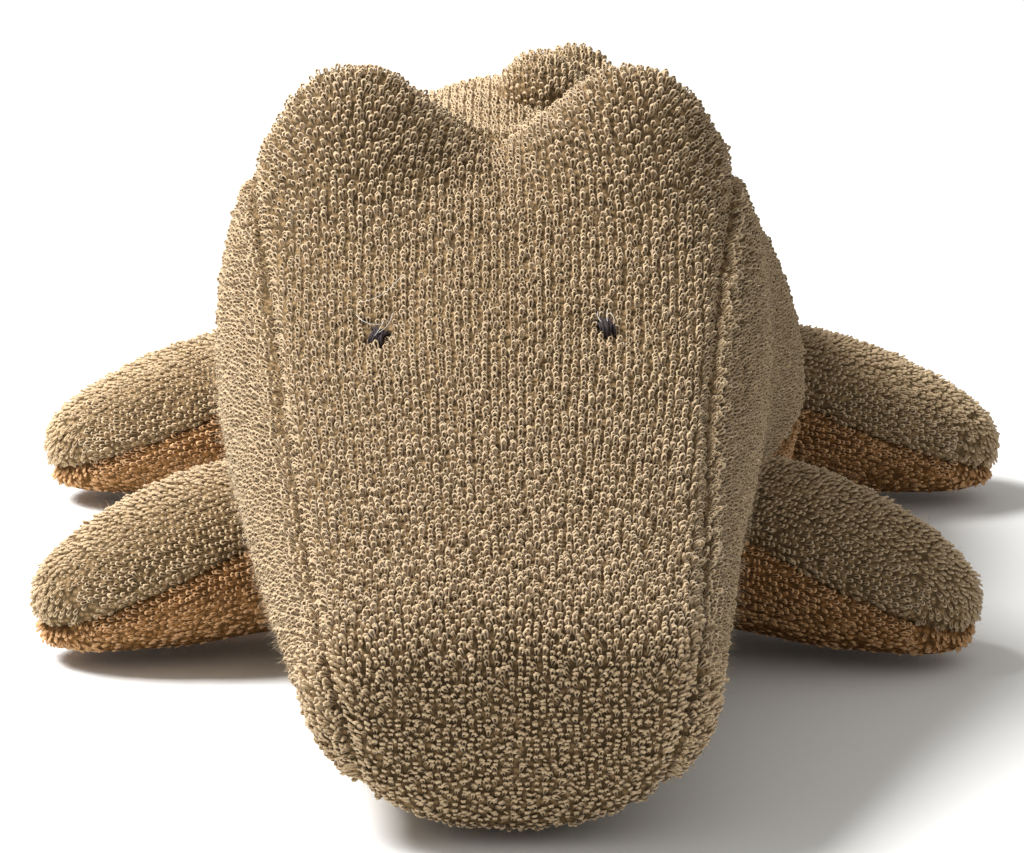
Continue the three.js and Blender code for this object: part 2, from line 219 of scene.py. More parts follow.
# Where each hump sits along Y, how far off the middle in half widths, its size and what it rides on
HUMPS = (
    (-25 * MM, 0.6, 1, "torso"),
    (0, 1.35, 0.95, "torso"),
    (24 * MM, 0.6, 0.8, "torso"),
    (42.6 * MM, 0.3, 0.7, "torso"),
    (79 * MM, 0, 0.62, "tail_root"),
    (99.3 * MM, 0, 0.54, "tail_root"),
    (136.6 * MM, 0, 0.45, "tail_end"),
    (154.7 * MM, 0, 0.37, "tail_end"),
)

# How far the toy lies off its middle plane to its left, by place along Y
LIE = ((-175, 0.5), (-120, -2.5), (-68, -3), (-40, -1), (-10, 1.5), (60, 1), (175, 0))

# How square the sections are above and below their widest height: 2 is round, more is squarer
HEAD_POWERS = (3.5, 2)
BODY_POWERS = (1.85, 3)
LIMB_POWERS = (2, 2)

# How many sides the sections of the forms have, and how far the filling lies inside the fabric
TRUNK_SIDES = 64
LEG_SIDES = 40
FILLING_GAP = 0.6 * MM

# How fine the cloth simulation is, and how many steps it runs
CLOTH_QUALITY = 5
CLOTH_STEPS = 20

SLOTS = {"khaki": "khaki_terry", "orange": "orange_terry"}
TRUNK_PANELS = {
    "face_panel": "khaki",
    "left_cheek_panel": "khaki",
    "right_cheek_panel": "khaki",
    "nape_panel": "khaki",
    "jaw_panel": "orange",
    "back_panel": "khaki",
    "belly_panel": "orange",
    "tail_root_upper": "khaki",
    "tail_root_under": "orange",
    "tail_end_upper": "khaki",
    "tail_end_under": "orange",
}


# Settings


class FormSettings(bpy.types.PropertyGroup):
    """Sizes of the sewn and stuffed forms"""

    inset: FloatProperty(
        name="Inset", description="How far the fabric's ground lies inside the tips of its loops",
        default=1.4 * MM, unit="LENGTH",
    )
    cloth_face: FloatProperty(
        name="Cloth face", description="Size of the faces that the stuffing presses out",
        default=4 * MM, unit="LENGTH",
    )
    pressure: FloatProperty(
        name="Stuffing pressure", description="How hard the stuffing presses on the fabric", default=9.0,
    )
    most_swell: FloatProperty(
        name="Most swell", description="How far the stuffing may move a point of the fabric",
        default=2.5 * MM, unit="LENGTH",
    )
    seam_depth: FloatProperty(
        name="Seam depth", description="How deep the seams pull the fabric in",
        default=1.25 * MM, unit="LENGTH",
    )
    seam_width: FloatProperty(
        name="Seam width", description="How far from a seam the fabric is pulled in",
        default=1.2 * MM, unit="LENGTH",
    )
    panel_thickness: FloatProperty(
        name="Ground thickness", description="Thickness of the knitted ground under the loops",
        default=0.8 * MM, unit="LENGTH",
    )


class PileSettings(bpy.types.PropertyGroup):
    """Sizes and colours of the loops"""

    pitch: FloatProperty(
        name="Loop pitch", description="Distance from one loop to the next along a row",
        default=1.42 * MM, unit="LENGTH",
    )
    row_pitch: FloatProperty(
        name="Row pitch", description="Distance from one row of loops to the next",
        default=1.06 * MM, unit="LENGTH",
    )
    loop_width: FloatProperty(
        name="Loop width", description="Width of a loop's middle line", default=0.72 * MM, unit="LENGTH",
    )
    loop_height: FloatProperty(
        name="Loop height", description="Height of the middle line of a loop",
        default=1.45 * MM, unit="LENGTH",
    )
    loop_sink: FloatProperty(
        name="Loop sink", description="How deep the foot of a loop lies in the ground",
        default=0.26 * MM, unit="LENGTH",
    )
    yarn_radius: FloatProperty(
        name="Yarn radius", description="Half the thickness of the yarn", default=0.215 * MM, unit="LENGTH",
    )
    lean: FloatProperty(
        name="Lean", description="How far the loops lean towards the tail",
        default=math.radians(57), subtype="ANGLE",
    )
    press: FloatProperty(
        name="Press", description="How much flatter the loops lie where the fabric faces the floor",
        default=math.radians(32), subtype="ANGLE",
    )
    nose_stand: FloatProperty(
        name="Nose stand", description="How much more upright the loops stand on the nose",
        default=math.radians(20), subtype="ANGLE",
    )
    lean_spread: FloatProperty(
        name="Lean spread", description="How much the lean differs from loop to loop",
        default=math.radians(9), subtype="ANGLE",
    )
    twist_spread: FloatProperty(
        name="Twist spread", description="How much the loops turn about their feet",
        default=math.radians(12), subtype="ANGLE",
    )
    khaki_light: FloatVectorProperty(
        name="Khaki yarn, light", description="Colour of the palest khaki yarn",
        default=(0.61, 0.46, 0.28), subtype="COLOR",
    )
    khaki_dark: FloatVectorProperty(
        name="Khaki yarn, dark", description="Colour of the darkest khaki yarn",
        default=(0.47, 0.34, 0.2), subtype="COLOR",
    )
    orange_light: FloatVectorProperty(
        name="Orange yarn, light", description="Colour of the palest orange yarn",
        default=(0.75, 0.45, 0.215), subtype="COLOR",
    )
    orange_dark: FloatVectorProperty(
        name="Orange yarn, dark", description="Colour of the darkest orange yarn",
        default=(0.48, 0.26, 0.11), subtype="COLOR",
    )
    loops_per_piece: IntProperty(
        name="Loops per piece", description="Most loops that one piece of the pile holds", default=5000,
    )
    fibre_length: FloatProperty(
        name="Fibre length", description="How far the stray fibres of the yarn stand out",
        default=1.2 * MM, unit="LENGTH",
    )
    fibre_radius: FloatProperty(
        name="Fibre radius", description="Half the thickness of a stray fibre at its foot",
        default=0.024 * MM, unit="LENGTH",
    )


class StageSettings(bpy.types.PropertyGroup):
    """Camera, lights and floor"""

    lens: FloatProperty(name="Lens", description="Focal length in millimetres", default=221.5)
    camera_distance: FloatProperty(
        name="Camera distance", description="How far the camera stands in front of the origin",
        default=1.063, unit="LENGTH",
    )
    camera_height: FloatProperty(
        name="Camera height", description="Height of the camera over the floor",
        default=0.3038, unit="LENGTH",
    )
    camera_pitch: FloatProperty(
        name="Camera pitch", description="How far the camera looks down",
        default=math.radians(15), subtype="ANGLE",
    )
    key_power: FloatProperty(name="Key power", description="Power of the key light in watts", default=13.4)
    fill_power: FloatProperty(
        name="Fill power", description="Power of the fill light in watts", default=0.8,
    )
    sky: FloatProperty(name="Sky", description="Strength of the light from all round", default=0.46)


# Form tables


def rows_of(shares, start, length, half_width, height, powers):
    """Rows of real sizes from a table of shares: along, half width, lowest, widest, highest and powers"""
    return [
        (start + along * length, half * half_width, low * height, wide * height, high * height, *powers)
        for along, half, low, wide, high in shares
    ]


def trunk_rows():
    """Sections of head, body and tail as one form"""
    head = rows_of(HEAD_SHARES, SNOUT_Y, BROW_Y - SNOUT_Y, CHEEK_HALF_WIDTH, BROW_HEIGHT, HEAD_POWERS)
    body = rows_of(BODY_SHARES, CHEST_Y, RUMP_Y - CHEST_Y, BODY_HALF_WIDTH, BACK_HEIGHT, BODY_POWERS)
    tail = rows_of(
        TAIL_SHARES, TAIL_ROOT_Y, TAIL_TIP_Y - TAIL_ROOT_Y, TAIL_ROOT_HALF_WIDTH, TAIL_ROOT_HEIGHT,
        LIMB_POWERS,
    )
    return np.array(head + body + tail)


def leg_rows(reach):
    """Sections of a leg in its own frame, where it reaches along +Y from its hip"""
    rows = rows_of(LEG_SHARES, 0, reach, LEG_ROOT_HALF_WIDTH, LEG_ROOT_TOP, LIMB_POWERS)
    root = (-LEG_ROOT_DEPTH, *rows[0][1:])
    return np.array([root] + rows)


def smoothed(rows, spacing):
    """The rows read at even places on cubic curves that pass through them with even slopes"""
    along = rows[:, 0]
    slopes = np.gradient(rows, along, axis=0)
    count = int(np.ceil((along[-1] - along[0]) / spacing))
    places = np.union1d(np.linspace(along[0], along[-1], count + 1), along[:3])
    after = np.clip(np.searchsorted(along, places), 1, len(along) - 1)
    span = (along[after] - along[after - 1])[:, None]
    t = ((places - along[after - 1]) / span[:, 0])[:, None]
    low, high = rows[after - 1], rows[after]
    return (
        (2 * t**3 - 3 * t**2 + 1) * low
        + (t**3 - 2 * t**2 + t) * span * slopes[after - 1]
        + (3 * t**2 - 2 * t**3) * high
        + (t**3 - t**2) * span * slopes[after]
    )


def drawn_in(rows, inset):
    """The rows of a form whose surface lies deeper by the inset"""
    inner = rows.copy()
    middle = (rows[0, 0] + rows[-1, 0]) / 2
    length = rows[-1, 0] - rows[0, 0]
    inner[:, 0] = middle + (rows[:, 0] - middle) * (1 - 2 * inset / length)
    inner[:, 1] = np.maximum(rows[:, 1] - inset, inset)
    inner[:, 2] += inset
    inner[:, 4] -= inset
    return inner


def brow_rise(x, y):
    """How much the two brow bumps add to the height"""
    across = abs(abs(x) - BUMP_X) / BUMP_RADIUS
    along = (y - BROW_Y) / BUMP_DEPTH
    return BUMP_RISE * math.exp(-(across ** BUMP_POWER) - along * along)


def no_rise(x, y):
    return 0.0


# Forms


def section_point(row, turn, rise):
    """A point of a section, at a turn about it from its left side"""
    along, half_width, lowest, widest, highest, upper, lower = row
    across, up = math.cos(turn), math.sin(turn)
    power = upper if up > 0 else lower
    reach = highest - widest if up > 0 else widest - lowest
    x = half_width * math.copysign(abs(across) ** (2 / power), across)
    z = widest + reach * math.copysign(abs(up) ** (2 / power), up)
    if up > 0:
        z += rise(x, along)
    return Vector((x, along, z))


def ring_edges(verts):
    """The edges of a ring of points"""
    return list({edge for vert in verts for edge in vert.link_edges})


def skin(bm, rings):
    """Bridges rings of edges one to the next and closes both ends"""
    for ring, following in zip(rings, rings[1:]):
        bmesh.ops.bridge_loops(bm, edges=ring + following)
    for end in (rings[0], rings[-1]):
        bmesh.ops.contextual_create(bm, geom=end)


def loft(rows, sides, rise=no_rise):
    """A closed form through sections"""
    bm = bmesh.new()
    rings = []
    for row in rows:
        verts = bmesh.ops.create_circle(bm, radius=1, segments=sides)["verts"]
        for vert in verts:
            vert.co = section_point(row, math.atan2(vert.co.y, vert.co.x), rise)
        rings.append(ring_edges(verts))
    skin(bm, rings)
    bmesh.ops.recalc_face_normals(bm, faces=bm.faces)
    return bm


def mesh_from(bm, name):
    mesh = bpy.data.meshes.new(name)
    bm.to_mesh(mesh)
    bm.free()
    return mesh


def link(name, mesh):
    obj = bpy.data.objects.new(name, mesh)
    bpy.context.scene.collection.objects.link(obj)
    return obj


def dress(piece, material, slot):
    """Gives a piece its material; the slot is not used"""
    piece.data.materials.append(bpy.data.materials[material])


def form_tree(form):
    """The form's faces, ready for rays and for the nearest place"""
    return BVHTree.FromPolygons(
        [vert.co for vert in form.vertices], [face.vertices for face in form.polygons],
    )


def top_of(tree, x, y):
    """The highest place of a form at x and y, and its normal there"""
    place, normal, _, _ = tree.ray_cast(Vector((x, y, RAY_HEIGHT)), -UP)
    return place, normal


def is_inside(tree, place, spare):
    """True if a place lies deeper in a form than the spare"""
    near, normal, _, _ = tree.find_nearest(place)
    return near is not None and (place - near).dot(normal) < -spare


def evaluated_mesh(obj):
    """The object's mesh with its modifiers applied"""
    graph = bpy.context.evaluated_depsgraph_get()
    return bpy.data.meshes.new_from_object(obj.evaluated_get(graph), depsgraph=graph)


def places_of(mesh):
    places = np.empty(len(mesh.vertices) * 3)
    mesh.vertices.foreach_get("co", places)
    return places.reshape(-1, 3)


def set_places(mesh, places):
    mesh.vertices.foreach_set("co", places.astype(np.float32).ravel())
    mesh.update()


def stuffed(mesh, near_seam, settings):
    """The form with even faces, pressed out by its stuffing while its seams hold, then subdivided once"""
    obj = link("stuffing_work", mesh)
    remesh = obj.modifiers.new("even_faces", "REMESH")
    remesh.mode = "VOXEL"
    remesh.voxel_size = settings.cloth_face
    even = evaluated_mesh(obj)
    obj.modifiers.clear()
    obj.data = even
    press_out(obj, near_seam, settings)
    subdivision = obj.modifiers.new("finer_faces", "SUBSURF")
    subdivision.levels = subdivision.render_levels = 1
    form = evaluated_mesh(obj)
    bpy.data.objects.remove(obj)
    return form


def press_out(obj, near_seam, settings):
    """Runs the cloth under the stuffing's pressure, and keeps what it moves within the most swell"""
    scene = bpy.context.scene
    before = places_of(obj.data)
    held = obj.vertex_groups.new(name="seams")
    for index, place in enumerate(before):
        held.add([index], near_seam(Vector(place)), "REPLACE")
    cloth = obj.modifiers.new("cloth", "CLOTH")
    cloth.settings.quality = CLOTH_QUALITY
    cloth.settings.use_pressure = True
    cloth.settings.uniform_pressure_force = settings.pressure
    cloth.settings.effector_weights.gravity = 0
    cloth.settings.vertex_group_mass = held.name
    cloth.settings.pin_stiffness = 1
    for step in range(1, CLOTH_STEPS + 1):
        scene.frame_set(step)
    after = places_of(evaluated_mesh(obj))
    scene.frame_set(1)
    obj.modifiers.clear()
    moves = after - before
    lengths = np.linalg.norm(moves, axis=1, keepdims=True)
    moves *= np.minimum(1, settings.most_swell / np.maximum(lengths, TINY))
    moved = before + moves
    moved[:, 2] = np.maximum(moved[:, 2], settings.inset)
    set_places(obj.data, moved)


def lie_offset(y):
    """How far the toy lies to its left at a place along Y"""
    along, offsets = np.array(LIE).T * MM
    return np.interp(y, along, offsets)


def laid_straight(place):
    """Where a place of the trunk would be if the toy lay straight"""
    return Vector((place.x - lie_offset(place.y), place.y, place.z))


def lay_askew(form):
    """Moves the form sideways, as a soft toy never lies quite straight"""
    places = places_of(form)
    places[:, 0] += lie_offset(places[:, 1])
    set_places(form, places)


def dimple_eyes(form):
    """Pulls the face in where the eyes are stitched through it"""
    places = places_of(form)
    for eye in EYES.values():
        away = np.linalg.norm(places[:, :2] - np.array(eye), axis=1)
        top = places[:, 2] > BODY_SEAM_HEIGHT
        places[:, 2] -= top * EYE_DIMPLE * np.exp(-((away / EYE_DIMPLE_RADIUS) ** 2))
    set_places(form, places)


# Seams


class Seam:
    """A seam in a plane, over the stretch of the form where reaches is true"""

    def __init__(self, point, normal, reaches, depth_share=1.0):
        self.point = point
        self.normal = normal.normalized()
        self.reaches = reaches
        self.depth_share = depth_share

    def distance(self, place):
        return (place - self.point).dot(self.normal)


def face_seam(side):
    """The seam between the face panel and the cheek panel on one side"""
    brow, nose, chin = (
        Vector((side * p.x, p.y, p.z)) for p in (SEAM_AT_BROW, SEAM_AT_NOSE, SEAM_AT_CHIN)
    )
    normal = (nose - brow).cross(chin - brow)
    normal *= math.copysign(1, normal.x) * side
    return Seam(nose, normal, lambda p: p.y < NECK_SEAM_Y and p.z > JAW_SEAM_HEIGHT and p.x * side > 0)


FACE_SEAMS = {side: face_seam(side) for side in (1, -1)}
JAW_SEAM = Seam(UP * JAW_SEAM_HEIGHT, UP, lambda p: p.y < NECK_SEAM_Y, depth_share=0)
BROW_SEAM = Seam(
    BACK * BROW_SEAM_Y, BACK,
    lambda p: p.z > BODY_SEAM_HEIGHT and all(seam.distance(p) < 0 for seam in FACE_SEAMS.values()),
    depth_share=0.6,
)
NECK_SEAM = Seam(BACK * NECK_SEAM_Y, BACK, lambda p: True, depth_share=0.4)
BODY_SEAM = Seam(UP * BODY_SEAM_HEIGHT, UP, lambda p: NECK_SEAM_Y < p.y < TAIL_JOIN_Y)
TAIL_JOIN = Seam(BACK * TAIL_JOIN_Y, BACK, lambda p: True, depth_share=0)
TAIL_SPLIT = Seam(BACK * TAIL_SPLIT_Y, BACK, lambda p: True, depth_share=0)
TAIL_SEAM = Seam(
    Vector((0, TAIL_ROOT_Y, TAIL_SEAM_ROOT_HEIGHT)),
    Vector((0, TAIL_SEAM_ROOT_HEIGHT - TAIL_SEAM_TIP_HEIGHT, TAIL_TIP_Y - TAIL_ROOT_Y)),
    lambda p: p.y > TAIL_JOIN_Y,
)
TRUNK_SEAMS = (
    *FACE_SEAMS.values(), JAW_SEAM, BROW_SEAM, NECK_SEAM, BODY_SEAM, TAIL_JOIN, TAIL_SPLIT, TAIL_SEAM,
)

# Seams with a smaller share of the depth than this don't hold against the stuffing
FIRM_DEPTH_SHARE = 0.5

# Where the fabric is cut beside a seam, in seam widths, so that the groove has clean sides
GROOVE_SHARES = (-1.5, -0.75, 0, 0.75, 1.5)

# Points this near to a cut are moved onto it
CUT_TOLERANCE = 0.05 * MM


def trunk_panel(place):
    """Which panel of the trunk a place lies on"""
    if place.y > TAIL_JOIN_Y:
        stretch = "tail_end" if place.y > TAIL_SPLIT_Y else "tail_root"
        return f"{stretch}_upper" if TAIL_SEAM.distance(place) > 0 else f"{stretch}_under"
    if place.y > NECK_SEAM_Y:
        return "back_panel" if place.z > BODY_SEAM_HEIGHT else "belly_panel"
    if place.z < JAW_SEAM_HEIGHT:
        return "jaw_panel"
    if FACE_SEAMS[1].distance(place) > 0:
        return "left_cheek_panel"
    if FACE_SEAMS[-1].distance(place) > 0:
        return "right_cheek_panel"
    return "nape_panel" if place.y > BROW_SEAM_Y else "face_panel"


def hold_near(seams, settings):
    """A function that says how firmly a place is held while the form is stuffed: 1 on a seam, 0 off it"""
    width = settings.cloth_face

    def held(place):
        firm = [seam for seam in seams if seam.depth_share > FIRM_DEPTH_SHARE and seam.reaches(place)]
        near = [abs(seam.distance(place)) for seam in firm]
        return max(0.0, 1 - min(near, default=width) / width)

    return held


def cut_along(form, seams, names, panel_of, settings):
    """Cuts the form's faces along the seams, numbers them by panel and pulls the fabric in at the seams"""
    bm = bmesh.new()
    bm.from_mesh(form)
    for seam in seams:
        beside = GROOVE_SHARES if seam.depth_share else (0,)
        for share in beside:
            place = seam.point + seam.normal * settings.seam_width * share
            faces = [face for face in bm.faces if seam.reaches(face.calc_center_median())]
            edges = {edge for face in faces for edge in face.edges}
            verts = {vert for face in faces for vert in face.verts}
            bmesh.ops.bisect_plane(
                bm, geom=[*verts, *edges, *faces], plane_co=place, plane_no=seam.normal, dist=CUT_TOLERANCE,
            )
    for face in bm.faces:
        face.material_index = names.index(panel_of(face.calc_center_median()))
    bm.normal_update()
    pulls = []
    for vert in bm.verts:
        depth = 0.0
        for seam in seams:
            if seam.depth_share and seam.reaches(vert.co):
                near = seam.distance(vert.co) / settings.seam_width
                depth = max(depth, seam.depth_share * math.exp(-near * near))
        pulls.append(vert.normal * depth * settings.seam_depth)
    for vert, pull in zip(bm.verts, pulls):
        vert.co -= pull
    bm.to_mesh(form)
    bm.free()


# Panels


def panel_mesh(form, number, name):
    """A copy of the faces that carry one panel's number"""
    bm = bmesh.new()
    bm.from_mesh(form)
    others = [face for face in bm.faces if face.material_index != number]
    bmesh.ops.delete(bm, geom=others, context="FACES")
    for face in bm.faces:
        face.material_index = 0
        face.smooth = True
    return mesh_from(bm, name)


def make_panel(form, names, name, colour, settings):
    """One sewn panel of the knitted ground, a shell of even thickness"""
    panel = link(name + "_ground", panel_mesh(form, names.index(name), name))
    wall = panel.modifiers.new("thickness", "SOLIDIFY")
    wall.thickness = settings.panel_thickness
    wall.offset = -1
    dress(panel, colour + "_ground", SLOTS[colour])
    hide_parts(name)
    return panel


def make_stuffing(name, form, settings, keep=()):
    """The filling of a stretch of a form: its surface drawn in, closed where the stretch ends"""
    depth = settings.panel_thickness + FILLING_GAP
    bm = bmesh.new()
    bm.from_mesh(form)
    bm.normal_update()
    moves = [vert.normal * depth for vert in bm.verts]
    for vert, move in zip(bm.verts, moves):
        vert.co -= move
    for point, normal in keep:
        cut = bmesh.ops.bisect_plane(
            bm, geom=[*bm.verts, *bm.edges, *bm.faces], plane_co=point, plane_no=normal, clear_outer=True,
        )["geom_cut"]
        bmesh.ops.holes_fill(bm, edges=[part for part in cut if isinstance(part, bmesh.types.BMEdge)])
    for face in bm.faces:
        face.smooth = True
        face.material_index = 0
    stuffing = link(name + "_stuffing", mesh_from(bm, name))
    dress(stuffing, "stuffing_fibre", "filling_fibre")
    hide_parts(name)
    return stuffing


def carry_trunk(piece, name):
    """Bakes the world transform of a piece of a trunk panel or filling into its mesh, whatever its name"""
    if name.startswith("tail_root"):
        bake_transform(piece)
    elif name.startswith("tail_end"):
        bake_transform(piece)
    else:
        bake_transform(piece)


def leg_matrix(side, leg):
    turn = Matrix.Rotation(-side * (math.pi / 2 + leg["sweep"]), 4, "Z")
    return Matrix.Translation((side * leg["hip_x"] + leg["shift"], leg["hip_y"], 0)) @ turn


def carry_leg(piece, name):
    """Bakes the world transform of a piece of a leg into its mesh"""
    side, leg = LEGS[name]
    matrix = leg_matrix(side, leg)
    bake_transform(piece)


# Rows of loops


# Where the fabric is steep, the distance between rows counts as stretched by no more than one over this
STEEPEST_SHARE = 0.3


class Row:
    """A row of loops: rays from a hub meet the fabric in one plane. The middle ray starts the count.

    The next row stands a step further along, or is swung on by an angle about the hub.
    """

    def __init__(self, hub, middle, side, turn, step=0.0, swing=0.0):
        self.hub = hub
        self.middle = middle
        self.side = side
        self.along = middle.cross(side)
        self.turn = turn
        self.step = step
        self.swing = swing

    def placed(self, matrix):
        """The same row, moved and turned by a matrix"""
        turned = matrix.to_3x3()
        hub, middle, side = matrix @ self.hub, turned @ self.middle, turned @ self.side
        return Row(hub, middle, side, self.turn, self.step, self.swing)

    def meet(self, tree, angle, share=0.0):
        """Where the ray at an angle from the middle meets the fabric, with the row moved on by a share"""
        middle = Matrix.Rotation(self.swing * share, 3, self.side) @ self.middle
        direction = middle * math.cos(angle) + self.side * math.sin(angle)
        return tree.ray_cast(self.hub + self.along * self.step * share, direction)

    def spacing(self, place, normal):
        """Distance on the fabric from this row to the next"""
        out = place - self.hub
        out -= self.side * out.dot(self.side)
        swept = self.step + self.swing * out.length
        slope = abs(normal.dot(self.along))
        return swept / max(STEEPEST_SHARE, math.sqrt(max(0.0, 1 - slope * slope)))


# How many rays find the fabric along a row
RAYS_PER_ROW = 121

# How unevenly the loops stand, in pitches along their row and in row pitches across it
PLACE_SPREAD = 0.035
ROW_SPREAD = 0.1


def ray_row(tree, row):
    """The angles of a row's rays and where they meet the fabric, or no places if one of them misses"""
    angles = np.linspace(-row.turn, row.turn, RAYS_PER_ROW)
    met = [row.meet(tree, angle)[0] for angle in angles]
    return angles, [] if any(place is None for place in met) else met


def row_places(tree, row, pitch, row_pitch, rng):
    """Places of the loops on one row: (place, normal, face number)"""
    angles, met = ray_row(tree, row)
    if not met:
        return []
    steps = [(b - a).length for a, b in zip(met, met[1:])]
    lengths = np.concatenate([[0], np.cumsum(steps)])
    lengths -= lengths[len(lengths) // 2]
    first = math.ceil(lengths[0] / pitch + 0.5)
    last = math.floor(lengths[-1] / pitch - 0.5)
    found = []
    for number in range(first, last + 1):
        length = number * pitch + rng.normal(0, PLACE_SPREAD) * pitch
        angle = np.interp(length, lengths, angles)
        place, normal, face, _ = row.meet(tree, angle)
        if place is None:
            continue
        count = int(row.spacing(place, normal) / row_pitch + rng.random())
        for part in range(count):
            share = (part + 0.5) / count - 0.5 + rng.normal(0, ROW_SPREAD)
            place, normal, face, _ = row.meet(tree, angle, share)
            if place is not None:
                found.append((place, normal, face))
    return found


# How far beside a seam its bulging loops stand, at least and at most, and how far they stray along it
SEAM_LOOP_OFFSETS = (0.1 * MM, 1.8 * MM)
SEAM_LOOP_SPREAD = 0.2


def seam_places(tree, row, seam, rng):
    """Places of the loops that bulge over a face seam where a row crosses it"""
    angles, met = ray_row(tree, row)
    distances = [seam.distance(laid_straight(place)) for place in met]
    found = []
    for index in range(len(met) - 1):
        before, after = distances[index], distances[index + 1]
        if before * after > 0 or not seam.reaches(laid_straight(met[index])):
            continue
        angle = angles[index] + (angles[index + 1] - angles[index]) * before / (before - after)
        radius = (met[index] - row.hub).length
        for side in (1, -1):
            offset = side * rng.uniform(*SEAM_LOOP_OFFSETS)
            share = rng.normal(0, SEAM_LOOP_SPREAD)
            place, normal, face, _ = row.meet(tree, angle + offset / radius, share)
            if place is not None:
                found.append((place, normal, face))
    return found


def straight_rows(rows, first, last, pitch):
    """Rows square to Y, with their hubs at the middle of each section"""
    places = np.arange(first, last, pitch)
    heights = np.interp(places, rows[:, 0], (rows[:, 2] + rows[:, 4]) / 2)
    return [Row(Vector((0, y, z)), UP, LEFT, math.pi, step=pitch) for y, z in zip(places, heights)]


def fan_rows(tree, hub, forward, first, last, pitch, side=LEFT):
    """Rows that fan out from a hub round a rounded end, between two angles from straight up to forward"""
    profile = np.linspace(first, last, RAYS_PER_ROW)

    def way(angle):
        return UP * math.cos(angle) + forward * math.sin(angle)

    met = [tree.ray_cast(hub, way(angle))[0] for angle in profile]
    lengths = np.concatenate([[0], np.cumsum([(b - a).length for a, b in zip(met, met[1:])])])
    count = max(2, round(lengths[-1] / pitch))
    angles = np.interp((np.arange(count) + 0.5) * lengths[-1] / count, lengths, profile)
    swings = np.gradient(angles)
    return [
        Row(hub, way(angle), side, math.pi / 2, swing=swing) for angle, swing in zip(angles, swings)
    ]


# Loops


# Where the cross sections of a loop's yarn stand round the loop, and how many sides they have
LOOP_TURNS = tuple(math.radians(turn) for turn in (40, 90, 140, 230, 310))
LOOP_SIDES = 3

# A loop's width at its foot, as a share, and how much wider it is at its top
LOOP_FOOT_SHARE = 0.6
LOOP_TOP_GAIN = 0.45

# Random spreads: the mean, the deviation, and the least and the most that a draw may give
LEAN_DRAW = (0, 1, -1.6, 1.6)
SIZE_DRAW = (1.04, 0.1, 0.7, 1.35)
STRETCH_DRAW = (0.92, 0.12, 0.7, 1.3)
FIBRE_LENGTH_DRAW = (0.8, 0.25, 0.3, 1.6)

# The shade of a loop's yarn is 0 when darkest and 1 when palest: its spread, and that of worn patches
SHADE_SPREAD = 0.17
PATCH_SPREAD = 0.1

# Slow waves over the fabric that make the worn patches: turns per metre along X, Y and Z, and the start
PATCH_WAVES = ((61, 23, 35, 0.4), (-34, 48, 19, 1.7), (17, -39, 71, 2.9), (83, 71, -57, 0.8))

# The space round each face's tile on the map, as a share of the tile
TILE_MARGIN = 0.06


def shape_of(bm):
    """The points and faces of a small shape"""
    bmesh.ops.recalc_face_normals(bm, faces=bm.faces)
    bm.verts.ensure_lookup_table()
    points = np.array([vert.co for vert in bm.verts])
    faces = np.array([[vert.index for vert in face.verts] for face in bm.faces])
    bm.free()
    return points, faces


def loop_shape(settings):
    """One loop of yarn as a closed ring, narrow at its foot"""
    bm = bmesh.new()
    rings = []
    for turn in LOOP_TURNS:
        verts = bmesh.ops.create_circle(bm, radius=settings.yarn_radius, segments=LOOP_SIDES)["verts"]
        height = math.sin(turn) / 2 + 0.5
        width = settings.loop_width * (LOOP_FOOT_SHARE + LOOP_TOP_GAIN * height)
        centre = Vector((math.cos(turn) * width / 2, 0, height * settings.loop_height))
        facing = Matrix.Rotation(-turn, 4, "Y") @ Matrix.Rotation(math.pi, 4, "Z")
        bmesh.ops.transform(bm, verts=verts, matrix=Matrix.Translation(centre) @ facing)
        rings.append(ring_edges(verts))
    for ring, following in zip(rings, rings[1:] + rings[:1]):
        bmesh.ops.bridge_loops(bm, edges=ring + following)
    return shape_of(bm)


def fibre_shape(settings):
    """One stray fibre as a closed spike"""
    bm = bmesh.new()
    bmesh.ops.create_cone(
        bm, cap_ends=True, segments=3, radius1=settings.fibre_radius, radius2=0, depth=settings.fibre_length,
    )
    bmesh.ops.translate(bm, verts=bm.verts, vec=UP * settings.fibre_length / 2)
    return shape_of(bm)


def drawn(rng, draw, count):
    """Random values by one of the draws"""
    mean, deviation, least, most = draw
    return np.clip(rng.normal(mean, deviation, count), least, most)


def loop_frames(places, normals, alongs, settings, rng):
    """Turned and scaled axes of each loop: across the row, over the row, and up its height"""
    count = len(places)
    across = np.cross(alongs, normals)
    across /= np.maximum(np.linalg.norm(across, axis=1, keepdims=True), TINY)
    over = np.cross(normals, across)
    downward = np.clip(-normals[:, 2], 0, 1)
    spread = drawn(rng, LEAN_DRAW, count) * settings.lean_spread
    nose = np.interp(places[:, 1], NOSE_Y_RANGE, (1, 0))
    lean = settings.lean + settings.press * downward - settings.nose_stand * nose + spread
    twist = rng.normal(0, 1, count) * settings.twist_spread
    cos_twist, sin_twist = np.cos(twist)[:, None], np.sin(twist)[:, None]
    across, over = across * cos_twist + over * sin_twist, over * cos_twist - across * sin_twist
    cos_lean, sin_lean = np.cos(lean)[:, None], np.sin(lean)[:, None]
    tall = normals * cos_lean + over * sin_lean
    deep = over * cos_lean - normals * sin_lean
    size = drawn(rng, SIZE_DRAW, count)[:, None]
    stretch = drawn(rng, STRETCH_DRAW, count)[:, None]
    return np.stack([across * size, deep * size, tall * size * stretch], axis=2)


